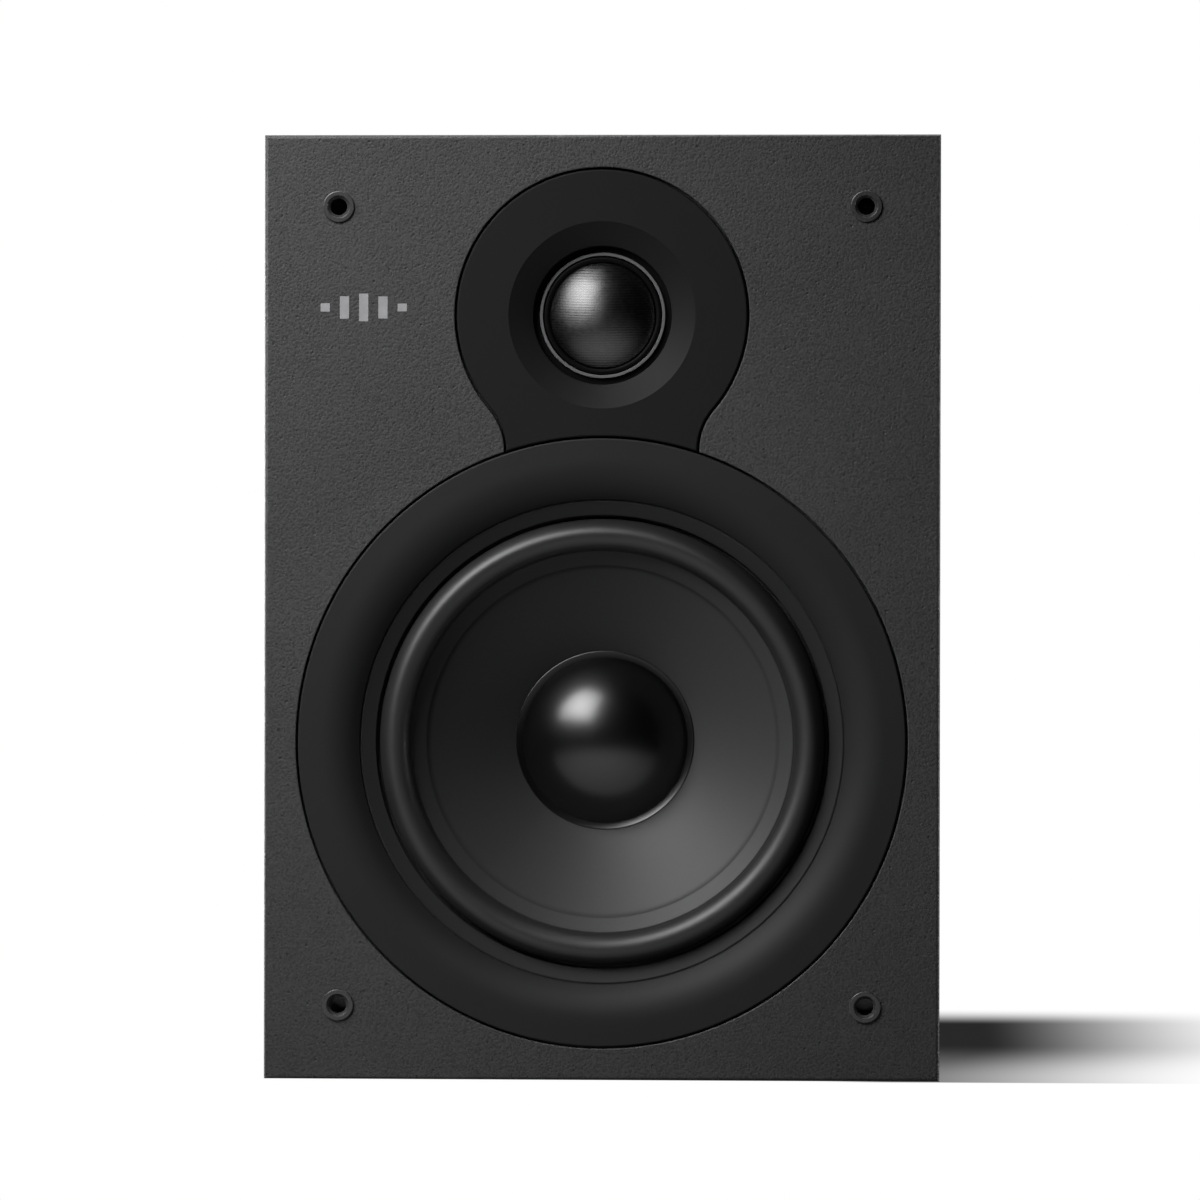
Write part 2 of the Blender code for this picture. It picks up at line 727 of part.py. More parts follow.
def make_port(finish):
    """Straight tube with a flared mouth whose flange lies on the rear panel, and a short flare inside the cabinet."""
    inner, outer = port_inner_radius, port_inner_radius + port_wall
    face = gap + port_flange_thickness
    turns = [math.pi / 2 * n / 4 for n in range(5)]
    flare = [(inner + port_flare * (1 - math.sin(t)), face - port_flare * (1 - math.cos(t))) for t in turns]
    end = -port_length
    small = [math.pi / 2 * n / 3 for n in range(4)]
    mouth = [(inner + inner_flare * (1 - math.cos(t)), end + inner_flare * (1 - math.sin(t))) for t in small]
    outline = [(port_flange_radius, gap), (port_flange_radius, face - 0.5 * mm), (port_flange_radius - 0.5 * mm, face)]
    outline += flare + mouth
    outline += [(inner + inner_flare + 0.8 * mm, end + 0.6 * mm), (outer, end + inner_flare + 1 * mm)]
    outline += [(outer, -wall - 2 * mm), (port_collar_radius, -wall + 2 * mm), (port_collar_radius, gap)]
    place("port_tube", turned(outline, middle_steps), finish, port_axis)


def cup_screw_places():
    x, z = cup_width / 2 - cup_screw_inset, cup_tall / 2 - cup_screw_inset
    return [(x, z), (-x, z), (-x, -z), (x, -z)]


def make_terminal_cup(plastic, foam, steel):
    seat = gap + cup_gasket + gap
    flange = prism(rounded_rectangle(cup_width, cup_tall, cup_corner), seat, cup_front)
    cup = place("terminal_cup", flange, plastic, cup_axis)
    wide, tall = pocket_width + 2 * cup_wall, pocket_tall + 2 * cup_wall
    shell = prism(rounded_rectangle(wide, tall, pocket_corner), pocket_floor - cup_wall, (seat + cup_front) / 2)
    combine(cup, cutter("add_cup_shell", shell, cup_axis), "UNION")
    pocket = prism(rounded_rectangle(pocket_width, pocket_tall, pocket_corner - 1 * mm), pocket_floor, cup_front + over)
    combine(cup, cutter("cut_pocket", pocket, cup_axis))
    low, high = pocket_floor - cup_wall - over, pocket_floor + over
    drill = [(0, low), (post_radius + gap, low), (post_radius + gap, high), (0, high)]
    for hand, x in post_places():
        combine(cup, cutter(f"cut_post_{hand}", turned(drill, small_steps), cup_axis, (x, 0, 0)))
    hole = cup_screw_radius + gap
    through = [(0, -over), (hole, -over), (hole, cup_front + over), (0, cup_front + over)]
    top = cup_front + gap
    screw = [
        (0, top + cup_screw_head),
        (cup_screw_head_radius * 0.65, top + cup_screw_head),
        (cup_screw_head_radius, top + cup_screw_head * 0.4),
        (cup_screw_head_radius, top),
        (cup_screw_radius, top),
        (cup_screw_radius, 1.5 * mm - cup_screw_length),
        (0.3 * mm, -cup_screw_length),
        (0, -cup_screw_length),
    ]
    for n, (x, z) in enumerate(cup_screw_places()):
        combine(cup, cutter(f"cut_cup_hole_{n}", turned(through, screw_steps), cup_axis, (x, 0, z)))
        place(f"terminal_cup_screw_{n + 1}", turned(screw[::-1], screw_steps), steel, cup_axis, (x, 0, z))
    inner = rounded_rectangle(wide + 2 * gap, tall + 2 * gap, pocket_corner)
    edge = 2 * (cup_screw_inset - hole)
    seal = prism(rounded_rectangle(cup_width - 2 * mm, cup_tall - 2 * mm, cup_corner - 1 * mm), gap, gap + cup_gasket)
    gasket = place("terminal_cup_gasket", seal, foam, cup_axis)
    combine(gasket, cutter("cut_gasket", prism(inner, -over, over + cup_gasket), cup_axis))
    for n, (x, z) in enumerate(cup_screw_places()):
        combine(gasket, cutter(f"cut_gasket_hole_{n}", turned(through, screw_steps), cup_axis, (x, 0, z)))


def post_places():
    return [("red", -post_spacing / 2), ("black", post_spacing / 2)]


def make_posts(brass, red, black):
    """Binding posts: a threaded post through the cup and the board, a washer, a ribbed cap and the nut behind."""
    foot = pocket_floor + gap
    washer_foot = foot + post_collar + gap
    cap_foot = washer_foot + washer_thickness + gap
    tip = foot + post_reach
    tail = board_face - board_thickness - post_tail
    socket_end = tip - banana_depth
    outline = [
        (0, socket_end),
        (banana_radius, socket_end),
        (banana_radius, tip - 0.4 * mm),
        (banana_radius + 0.4 * mm, tip),
        (post_radius - 0.4 * mm, tip),
        (post_radius, tip - 0.4 * mm),
        (post_radius, foot + post_collar),
        (post_collar_radius - 0.4 * mm, foot + post_collar),
        (post_collar_radius, foot + post_collar - 0.4 * mm),
        (post_collar_radius, foot),
        (post_radius, foot),
        (post_radius, tail),
        (0, tail),
    ]
    bore = post_radius + cap_thread_clearance
    cap_end = cap_foot + cap_nut_length
    nut_face = board_face - board_thickness - gap
    colours = {"red": red, "black": black}
    wire_hole = [(0, -post_collar_radius), (wire_hole_radius, -post_collar_radius)]
    wire_hole += [(wire_hole_radius, post_collar_radius), (0, post_collar_radius)]
    for hand, x in post_places():
        post = place(f"{hand}_post", turned(outline, small_steps), brass, cup_axis, (x, 0, 0))
        across = cutter(f"cut_wire_{hand}", turned(wire_hole, screw_steps), cup_axis, (x, washer_foot + 1.3 * mm, 0))
        across.rotation_euler = (math.pi / 2, 0, 0)
        combine(post, across)
        ring = ring_outline(bore, washer_radius, washer_foot, washer_foot + washer_thickness)
        place(f"{hand}_post_washer", turned(ring, small_steps), brass, cup_axis, (x, 0, 0))
        place(f"{hand}_post_cap", ribbed_cap(bore, cap_foot, cap_end), colours[hand], cup_axis, (x, 0, 0))
        nut = place(f"{hand}_post_nut", hexagon(nut_radius, nut_face - nut_thickness, nut_face), brass, cup_axis, (x, 0, 0))
        low, high = nut_face - nut_thickness - over, nut_face + over
        drill = [(0, low), (post_radius + gap, low), (post_radius + gap, high), (0, high)]
        combine(nut, cutter(f"cut_nut_{hand}", turned(drill, small_steps), cup_axis, (x, 0, 0)))


def ribbed_cap(bore, near, far):
    """A turned cap whose outside has ribs for the fingers."""
    steps = cap_nut_ribs * 3
    edge = 0.8 * mm
    outline = [
        (bore, near),
        (bore, far),
        (cap_nut_radius - edge, far),
        (cap_nut_radius, far - edge),
        (cap_nut_radius, near + edge),
        (cap_nut_radius - edge, near),
    ]
    bm = turned(outline, steps)
    bmesh.ops.remove_doubles(bm, verts=bm.verts, dist=weld)
    for vertex in bm.verts:
        radius = math.hypot(vertex.co.x, vertex.co.z)
        turn = math.atan2(vertex.co.z, vertex.co.x) % (2 * math.pi)
        if radius > cap_nut_radius - weld and round(turn / (2 * math.pi) * steps) % 3 == 0:
            shrink = (radius - cap_nut_rib_depth) / radius
            vertex.co.x *= shrink
            vertex.co.z *= shrink
    return bm


def hexagon(radius, near, far):
    return prism(arc((0, 0), radius, 0, 2 * math.pi * 5 / 6, 5), near, far)


# Crossover


def make_crossover(fibre, copper, iron, film, can, cement):
    """Board on the posts behind the terminal cup, with its parts on the side that faces the woofer."""
    near, far = board_face - board_thickness, board_face
    board = place("crossover_board", prism(rounded_rectangle(board_width, board_tall, 2 * mm), near, far), fibre, cup_axis)
    drill = [(0, near - over), (post_radius + gap, near - over), (post_radius + gap, far + over), (0, far + over)]
    for hand, x in post_places():
        combine(board, cutter(f"cut_board_{hand}", turned(drill, small_steps), cup_axis, (x, 0, 0)))

    seat = near - gap
    spool = 13 * mm
    core = 4 * mm
    bobbin = [(core + gap, seat), (spool, seat), (spool, seat - 16 * mm), (core + gap, seat - 16 * mm)]
    place("woofer_inductor_coil", turned(bobbin[::-1], small_steps), copper, cup_axis, (-31 * mm, 0, 18 * mm))
    rod = [(0, seat), (core, seat), (core, seat - 18 * mm), (0, seat - 18 * mm)]
    place("woofer_inductor_core", turned(rod[::-1], screw_steps), iron, cup_axis, (-31 * mm, 0, 18 * mm))
    small = [(4.5 * mm, seat), (10 * mm, seat), (10 * mm, seat - 9 * mm), (4.5 * mm, seat - 9 * mm)]
    place("tweeter_inductor_coil", turned(small[::-1], small_steps), copper, cup_axis, (33 * mm, 0, 20 * mm))

    def lying(radius, long):
        """A can with rounded ends, lying along X on the board."""
        edge = 1 * mm
        outline = [(0, -long / 2), (radius - edge, -long / 2), (radius, edge - long / 2)]
        outline += [(radius, long / 2 - edge), (radius - edge, long / 2), (0, long / 2)]
        bm = turned(outline, small_steps)
        for vertex in bm.verts:
            vertex.co = (vertex.co.y, vertex.co.x, vertex.co.z)
        return bm

    large = 7.5 * mm
    place("woofer_capacitor", lying(large, 32 * mm), can, cup_axis, (-24 * mm, seat - large, -22 * mm))
    slim = 6 * mm
    place("tweeter_capacitor", lying(slim, 26 * mm), film, cup_axis, (6 * mm, seat - slim, 22 * mm))
    low = (14 * mm, seat - 8 * mm, -27 * mm)
    high = (38 * mm, seat, -18 * mm)
    place("tweeter_resistor", block(low, high), cement, cup_axis)


def make_wadding(fleece):
    side = width / 2 - wall - gap
    near = carcass_front + wadding_margin
    far = rear_face - wall - wadding_margin
    for hand, sign in (("left", -1), ("right", 1)):
        xs = sorted((sign * side, sign * (side - wadding_thickness)))
        low = (xs[0], near, wall + wadding_margin)
        high = (xs[1], far, height - wall - wadding_margin)
        pad = block(low, high)
        bmesh.ops.bevel(pad, geom=pad.edges[:], offset=4 * mm, segments=2, profile=0.5, affect="EDGES")
        place(f"wadding_{hand}", pad, fleece, None)


def smooth_route(knots, spacing):
    """Evenly spaced points on a smooth curve through the knots."""
    knots = [Vector(knot) for knot in knots]
    ends = [2 * knots[0] - knots[1]] + knots + [2 * knots[-1] - knots[-2]]
    fine = []
    for a, b, c, d in zip(ends, ends[1:], ends[2:], ends[3:]):
        for n in range(20):
            t = n / 20
            bend = (2 * a - 5 * b + 4 * c - d) * t**2 + (3 * b - a - 3 * c + d) * t**3
            fine.append((2 * b + (c - a) * t + bend) / 2)
    fine.append(knots[-1])
    lengths = [0.0]
    for a, b in zip(fine, fine[1:]):
        lengths.append(lengths[-1] + (b - a).length)
    count = max(2, round(lengths[-1] / spacing))
    points, seen = [], 0
    for n in range(count + 1):
        wanted = lengths[-1] * n / count
        while seen < len(fine) - 2 and lengths[seen + 1] < wanted:
            seen += 1
        share = (wanted - lengths[seen]) / (lengths[seen + 1] - lengths[seen])
        points.append(fine[seen].lerp(fine[seen + 1], min(share, 1.0)))
    return points


def lead(name, knots, diameter, finish):
    curve = bpy.data.curves.new(name, "CURVE")
    curve.dimensions = "3D"
    curve.bevel_depth = diameter / 2
    curve.bevel_resolution = 1
    curve.use_fill_caps = True
    points = smooth_route(knots, 3 * diameter)
    spline = curve.splines.new("POLY")
    spline.points.add(len(points) - 1)
    for spot, point in zip(spline.points, points):
        spot.co = (*point, 1.0)
    curve.materials.append(finish)
    made = bpy.data.objects.new(name, curve)
    bpy.context.scene.collection.objects.link(made)


def make_leads(finish):
    """Two-core leads from the board's lower and upper edge to the drivers' tags, past the magnet and the port."""
    front = front_face
    board = rear_face + board_face - board_thickness
    tags = (frame_base_radius + frame_thickness + gap + 12.5 * mm, front + frame_base_depth, woofer_height)
    start = board - gap
    woofer_knots = [
        (38 * mm, start, cup_height - 10 * mm),
        (39 * mm, start - 14 * mm, cup_height - 10 * mm),
        (47 * mm, start - 45 * mm, cup_height - 4 * mm),
        (49 * mm, start - 90 * mm, woofer_height - 6 * mm),
        (49.5 * mm, start - 130 * mm, woofer_height),
        (tags[0] + 2 * mm, tags[1] + 12 * mm, tags[2]),
        (tags[0] + 2 * mm, tags[1] + 1 * mm, tags[2]),
    ]
    lead("woofer_lead", woofer_knots, lead_diameter, finish)
    back = front_face + tweeter_yoke_depth + tweeter_yoke_thickness + gap
    tweeter_knots = [
        (10 * mm, back, tweeter_height),
        (12 * mm, back + 10 * mm, tweeter_height),
        (26 * mm, back + 36 * mm, tweeter_height - 8 * mm),
        (36 * mm, back + 80 * mm, tweeter_height - 28 * mm),
        (40 * mm, back + 110 * mm, tweeter_height - 60 * mm),
        (30 * mm, start - 32 * mm, cup_height + 42 * mm),
        (17 * mm, start - 16 * mm, cup_height + 31 * mm),
        (16 * mm, start, cup_height + 30.5 * mm),
    ]
    lead("tweeter_lead", tweeter_knots, lead_diameter, finish)


clear_scene()

cutter_finish = surface("cutter", (0.5, 0.5, 0.5), 0.8)
vinyl = surface("black_vinyl", (0.045, 0.045, 0.046), 0.55)
board_finish = surface("black_board", (0.04, 0.04, 0.04), 0.7)
satin = surface("satin_black_plastic", (0.02, 0.02, 0.021), 0.45)
socket_rubber = surface("socket_plastic", (0.05, 0.05, 0.05), 0.5)
rubber = surface("surround_rubber", (0.02, 0.02, 0.02), 0.4)
paper = surface("cone_paper", (0.035, 0.035, 0.036), 0.6)
glossy = surface("cap_gloss", (0.01, 0.01, 0.01), 0.3)
silk = surface("dome_silk", (0.015, 0.015, 0.015), 0.35)
cloth = surface("spider_cloth", (0.55, 0.42, 0.2), 0.9)
painted = surface("frame_paint", (0.03, 0.03, 0.03), 0.5, 0.3)
zinc = surface("zinc_steel", (0.6, 0.6, 0.6), 0.35, 1.0)
black_steel = surface("black_screw", (0.02, 0.02, 0.02), 0.4, 0.8)
ferrite = surface("ferrite", (0.06, 0.06, 0.065), 0.7)
aluminium = surface("coil_former", (0.75, 0.75, 0.76), 0.4, 1.0)
copper = surface("copper_wire", (0.7, 0.3, 0.14), 0.35, 1.0)
foam = surface("gasket_foam", (0.03, 0.03, 0.03), 0.95)
brass = surface("plated_brass", (0.8, 0.62, 0.28), 0.25, 1.0)
red = surface("red_plastic", (0.55, 0.01, 0.01), 0.35)
black = surface("black_plastic", (0.015, 0.015, 0.015), 0.35)
fibre = surface("circuit_board", (0.35, 0.22, 0.08), 0.6)
film = surface("film_capacitor", (0.75, 0.6, 0.1), 0.4)
can = surface("electrolytic_sleeve", (0.02, 0.03, 0.09), 0.4)
cement = surface("cement_resistor", (0.8, 0.79, 0.75), 0.8)
fleece = surface("wadding_fleece", (0.8, 0.8, 0.78), 0.95)
sleeve = surface("lead_sleeve", (0.03, 0.03, 0.03), 0.5)

baffle_middle = empty("baffle_middle", (0, front_face, 0))
woofer_axis = empty("woofer_axis", (0, front_face, woofer_height))
woofer_moving = empty("woofer_moving", (0, front_face, woofer_height))
tweeter_axis = empty("tweeter_axis", (0, front_face, tweeter_height))
tweeter_moving = empty("tweeter_moving", (0, front_face, tweeter_height))
rear_middle = empty("rear_middle", (0, rear_face, 0))
port_axis = empty("port_axis", (0, rear_face, port_height))
cup_axis = empty("cup_axis", (0, rear_face, cup_height))

make_carcass(vinyl)
make_baffle(vinyl)
make_rear_panel(board_finish)
make_sockets(socket_rubber)
make_trim(satin)
make_suspension(rubber, cloth)
make_basket(painted, foam)
make_woofer_screws(black_steel)
make_cone_assembly(paper, glossy, aluminium, copper)
make_woofer_motor(zinc, ferrite)
make_woofer_strip(fibre)
make_tweeter_plate(satin)
make_tweeter_diaphragm(silk, copper)
make_tweeter_motor(zinc, ferrite)
make_port(satin)
make_terminal_cup(satin, foam, black_steel)
make_posts(brass, red, black)
make_crossover(fibre, copper, zinc, film, can, cement)
make_wadding(fleece)
make_leads(sleeve)
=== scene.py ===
import math

import bmesh
import bpy
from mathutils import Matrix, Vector, noise


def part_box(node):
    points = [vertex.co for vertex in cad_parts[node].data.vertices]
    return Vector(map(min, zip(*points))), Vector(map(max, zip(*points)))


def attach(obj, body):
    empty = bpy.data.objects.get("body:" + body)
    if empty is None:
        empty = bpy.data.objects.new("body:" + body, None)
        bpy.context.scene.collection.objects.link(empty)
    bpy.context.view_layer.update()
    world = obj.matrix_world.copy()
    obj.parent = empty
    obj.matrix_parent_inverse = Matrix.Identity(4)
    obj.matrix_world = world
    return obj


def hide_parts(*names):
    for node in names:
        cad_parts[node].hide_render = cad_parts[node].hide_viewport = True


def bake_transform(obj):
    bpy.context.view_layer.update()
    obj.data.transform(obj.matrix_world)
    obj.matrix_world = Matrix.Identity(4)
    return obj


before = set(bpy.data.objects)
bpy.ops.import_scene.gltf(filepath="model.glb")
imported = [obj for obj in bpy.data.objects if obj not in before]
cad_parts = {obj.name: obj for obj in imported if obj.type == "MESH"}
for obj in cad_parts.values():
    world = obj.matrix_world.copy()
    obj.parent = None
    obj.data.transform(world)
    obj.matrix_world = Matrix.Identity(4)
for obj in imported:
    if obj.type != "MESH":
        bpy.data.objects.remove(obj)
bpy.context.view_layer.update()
mm = 0.001
print("frame loaded with", len(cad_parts), "parts")


cameraSet = {
    "distance": 1500 * mm,
    "across": 64.3 * mm,
    "height": 122.6 * mm,
    "turnLeft": 2.468,
    "tiltDown": 0.316,
    "roll": -0.096,
    "lens": 189.34,
}
lightRig = {
    "keyLight": {
        "place": (-0.27, -0.4, 0.44),
        "aim": (-0.08, -0.12, 0.17),
        "size": (0.3, 0.22),
        "power": 0.55,
        "spread": 70,
        "shines": False,
    },
    # the key light again, as glossy pieces show it: larger, and soft at its sides
    "shineLight": {
        "place": (-0.28, -0.42, 0.45),
        "aim": (-0.06, -0.12, 0.15),
        "size": (0.42, 0.36),
        "power": 0.64,
        "spread": 75,
        "lights": False,
    },
    "fillLight": {
        "place": (-0.24, -0.27, 0.04),
        "aim": (-0.06, -0.12, 0.0),
        "size": (0.1, 0.06),
        "power": 0.04,
        "spread": 90,
        "shines": False,
    },
    # the rest stand behind the front, for the sides, the top and the back
    "leftLight": {
        "place": (-0.7, 0.2, 0.12),
        "aim": (-0.08, 0.0, 0.115),
        "size": (0.6, 0.18),
        "power": 1.5,
    },
    "rightLight": {
        "place": (0.7, 0.12, 0.12),
        "aim": (0.08, 0.0, 0.115),
        "size": (0.6, 0.18),
        "power": 0.9,
    },
    "topLight": {
        "place": (0.05, 0.1, 0.85),
        "aim": (0.0, 0.0, 0.22),
        "size": (0.5, 0.5),
        "power": 1.4,
    },
    "backLight": {
        "place": (-0.3, 0.75, 0.12),
        "aim": (0.0, 0.12, 0.11),
        "size": (0.6, 0.18),
        "power": 2.0,
    },
}
# bounce is what the floor gives to the pieces, and mirror what glossy pieces show of it inside the pool
floorSet = {
    "radius": 9.0,
    "grain": 60.0,
    "grainLow": 0.985,
    "bounce": 0.004,
    "mirror": 0.48,
    "pool": (0.05, 0.36),
    "poolX": -0.03,
    "poolY": -0.32,
}
# each pair is where the painted soft shadow beside the cabinet starts and ends, in metres
paintedShadowPatch = {
    "strength": 0.8,
    "coreStrength": 0.18,
    "spread": 0.025,
    "edge": (0.05, 0.07),
    "end": (0.068, 0.152),
    "front": (-0.122, -0.1195),
    "core": (-0.11, 0.0),
    "back": (0.07, 0.13),
}
worldGrey = 0.003

baffleLow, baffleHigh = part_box("front_baffle")
frontY = baffleLow.y


def setCamera():
    lens = bpy.data.cameras.new("camera")
    lens.lens = cameraSet["lens"]
    lens.sensor_width = 36
    lens.clip_end = 100
    camera = bpy.data.objects.new("camera", lens)
    camera.location = (cameraSet["across"], frontY - cameraSet["distance"], cameraSet["height"])
    turn = (90 - cameraSet["tiltDown"], cameraSet["roll"], cameraSet["turnLeft"])
    camera.rotation_euler = [math.radians(angle) for angle in turn]
    bpy.context.scene.collection.objects.link(camera)
    bpy.context.scene.camera = camera


def softbox(name, values):
    lamp = bpy.data.lights.new(name, "AREA")
    lamp.shape = "RECTANGLE"
    lamp.size, lamp.size_y = values["size"]
    lamp.energy = values["power"]
    lamp.spread = math.radians(values.get("spread", 100))
    light = bpy.data.objects.new(name, lamp)
    light.location = values["place"]
    away = Vector(values["place"]) - Vector(values["aim"])
    light.rotation_euler = away.to_track_quat("Z", "Y").to_euler()
    light.visible_glossy = values.get("shines", True)
    light.visible_diffuse = values.get("lights", True)
    bpy.context.scene.collection.objects.link(light)


class Ink:
    # one socket of a node tree, so that finishes are written as sums
    def __init__(self, book, socket):
        self.book = book
        self.socket = socket

    def sum(self, operation, *values):
        return self.book.sum(operation, *values)

    def __add__(self, other):
        return self.sum("ADD", self, other)

    def __radd__(self, other):
        return self.sum("ADD", other, self)

    def __sub__(self, other):
        return self.sum("SUBTRACT", self, other)

    def __rsub__(self, other):
        return self.sum("SUBTRACT", other, self)

    def __mul__(self, other):
        return self.sum("MULTIPLY", self, other)

    def __rmul__(self, other):
        return self.sum("MULTIPLY", other, self)

    def __truediv__(self, other):
        return self.sum("DIVIDE", self, other)

    def most(self, other):
        return self.sum("MAXIMUM", self, other)

    def size(self):
        return self.sum("ABSOLUTE", self)

    def wave(self):
        return self.sum("SINE", self)

    def fade(self, low, high):
        # 0 below low and 1 above high, smooth between them
        values = {"Value": self, "From Min": low, "From Max": high}
        return self.book.add("ShaderNodeMapRange", {"interpolation_type": "SMOOTHSTEP"}, values)


class Finish:
    # a material and the nodes in it
    def __init__(self, name, colour, roughness, metallic=0.0, **fixed):
        self.material = bpy.data.materials.new(name)
        self.material.use_nodes = True
        self.tree = self.material.node_tree
        self.shader = self.tree.nodes["Principled BSDF"]
        self.colour = (*colour, 1.0)
        self.set("Base Color", self.colour)
        self.set("Roughness", roughness)
        self.set("Metallic", metallic)
        for label, value in fixed.items():
            self.set(label.replace("_", " "), value)

    def set(self, label, value):
        self.feed(self.shader.inputs[label], value)

    def feed(self, socket, value):
        if isinstance(value, Ink):
            self.tree.links.new(value.socket, socket)
        else:
            socket.default_value = value

    def add(self, kind, settings=None, sockets=None, output=0):
        node = self.tree.nodes.new(kind)
        for label, value in (settings or {}).items():
            setattr(node, label, value)
        for label, value in (sockets or {}).items():
            self.feed(node.inputs[label], value)
        return Ink(self, node.outputs[output])

    def sum(self, operation, *values):
        return self.add("ShaderNodeMath", {"operation": operation}, dict(enumerate(values)))

    def place(self, scale=(1, 1, 1), shift=(0, 0, 0)):
        # the piece's own coordinates, in metres times scale
        where = self.add("ShaderNodeTexCoord", None, None, "Object")
        return self.add("ShaderNodeMapping", None, {"Vector": where, "Scale": scale, "Location": shift})

    def axes(self, shift=(0, 0, 0)):
        where = self.place(shift=[-value for value in shift])
        return [self.add("ShaderNodeSeparateXYZ", None, {"Vector": where}, axis) for axis in "XYZ"]

    def noise(self, scale, detail=3.0, roughness=0.55, distortion=0.0, stretch=(1, 1, 1), where=None):
        values = {"Vector": where or self.place(stretch), "Scale": scale, "Detail": detail}
        values.update({"Roughness": roughness, "Distortion": distortion})
        return self.add("ShaderNodeTexNoise", None, values, 0)

    def cells(self, scale, feature="F1", **more):
        values = {"Vector": self.place(), "Scale": scale, **more}
        return self.add("ShaderNodeTexVoronoi", {"feature": feature}, values, "Distance")

    def blend(self, factor, low, high):
        values = {"Factor": factor, 6: low, 7: high}
        return self.add("ShaderNodeMix", {"data_type": "RGBA"}, values, 2)

    def tint(self, factor, darker, lighter):
        # base colour between two strengths of itself
        low = [channel * darker for channel in self.colour[:3]] + [1.0]
        high = [channel * lighter for channel in self.colour[:3]] + [1.0]
        self.set("Base Color", self.blend(factor, low, high))

    def bump(self, height, depth, strength=1.0):
        values = {"Height": height, "Distance": depth, "Strength": strength}
        self.set("Normal", self.add("ShaderNodeBump", None, values))


def rounded(corners, pieces=4, hold=0.12 * mm):
    # (radius, depth, fillet) corners to a fine outline; each fillet has a loop just before and after it
    outline = []
    count = len(corners)
    for index, (radius, depth, fillet) in enumerate(corners):
        here = Vector((radius, depth))
        before = Vector(corners[index - 1][:2]) - here
        after = Vector(corners[(index + 1) % count][:2]) - here
        if fillet <= 0 or before.length < 1e-7 or after.length < 1e-7:
            outline.append(here)
            continue
        half = before.angle(after, 0.0) / 2
        reach = fillet / max(math.tan(half), 0.05)
        reach = min(reach, before.length * 0.46, after.length * 0.46)
        u, v = before.normalized(), after.normalized()
        if before.length * 0.5 > reach + hold:
            outline.append(here + u * (reach + hold))
        for step in range(pieces + 1):
            t = step / pieces
            outline.append(here + u * reach * (1 - t) ** 2 + v * reach * t**2)
        if after.length * 0.5 > reach + hold:
            outline.append(here + v * (reach + hold))
    return [(point.x, point.y) for point in outline]


def turned(outline, centre, steps=160):
    # a closed outline of (radius, depth) turned about the Y axis through centre
    bm = bmesh.new()
    turns = [2 * math.pi * step / steps for step in range(steps)]
    rings = []
    for radius, depth in outline:
        if radius < 1e-6:
            rings.append([bm.verts.new((centre[0], centre[1] + depth, centre[2]))] * steps)
            continue
        ring = []
        for turn in turns:
            x, z = radius * math.cos(turn), radius * math.sin(turn)
            ring.append(bm.verts.new((centre[0] + x, centre[1] + depth, centre[2] + z)))
        rings.append(ring)
    skin(bm, rings, closed=True)
    return bm


def skin(bm, rings, closed):
    follow = rings[1:] + rings[:1] if closed else rings[1:]
    for near, far in zip(rings, follow):
        count = len(near)
        for step in range(count):
            ahead = (step + 1) % count
            corners = []
            for vertex in (near[step], near[ahead], far[ahead], far[step]):
                if vertex not in corners:
                    corners.append(vertex)
            if len(corners) > 2:
                bm.faces.new(corners)


def lofted(layers, centre):
    # layers of (x, depth, z) rings with the same number of points, closed by a face at each end
    bm = bmesh.new()
    rings = [[bm.verts.new(Vector(spot) + Vector(centre)) for spot in layer] for layer in layers]
    skin(bm, rings, closed=False)
    bm.faces.new(rings[0])
    bm.faces.new(rings[-1])
    return bm


def arc(centre, radius, start, end, pieces):
    turns = [start + (end - start) * step / pieces for step in range(pieces + 1)]
    return [(centre[0] + radius * math.cos(t), centre[1] + radius * math.sin(t)) for t in turns]


def roundedBox(wide, tall, corner, pieces=10):
    points = []
    for quarter, (sx, sz) in enumerate(((1, 1), (-1, 1), (-1, -1), (1, -1))):
        middle = (sx * (wide / 2 - corner), sz * (tall / 2 - corner))
        points += arc(middle, corner, quarter * math.pi / 2, (quarter + 1) * math.pi / 2, pieces)
    return points


def meshPiece(name, bm, sharp=33, merge=True):
    if merge:
        bmesh.ops.remove_doubles(bm, verts=bm.verts, dist=0.0002 * mm)
    bmesh.ops.recalc_face_normals(bm, faces=bm.faces)
    mesh = bpy.data.meshes.new(name)
    bm.to_mesh(mesh)
    bm.free()
    mesh.shade_smooth()
    mesh.set_sharp_from_angle(angle=math.radians(sharp))
    piece = bpy.data.objects.new(name, mesh)
    bpy.context.scene.collection.objects.link(piece)
    return piece


def fit(piece, finish, body, nodes=()):
    # gives a piece its finish, its body and the parts that it stands for
    piece.data.materials.clear()
    piece.data.materials.append(finish.material)
    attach(piece, body)
    if nodes:
        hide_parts(*nodes)
    return piece


def plain(piece):
    # the piece's modifiers made real
    graph = bpy.context.evaluated_depsgraph_get()
    mesh = bpy.data.meshes.new_from_object(piece.evaluated_get(graph))
    piece.modifiers.clear()
    piece.data = mesh
    return piece


def carve(piece, *tools):
    for tool in tools:
        cut = piece.modifiers.new(tool.name, "BOOLEAN")
        cut.object = tool
        cut.operation = "DIFFERENCE"
        cut.solver = "EXACT"
    plain(piece)
    for tool in tools:
        bpy.data.objects.remove(tool)
    return piece


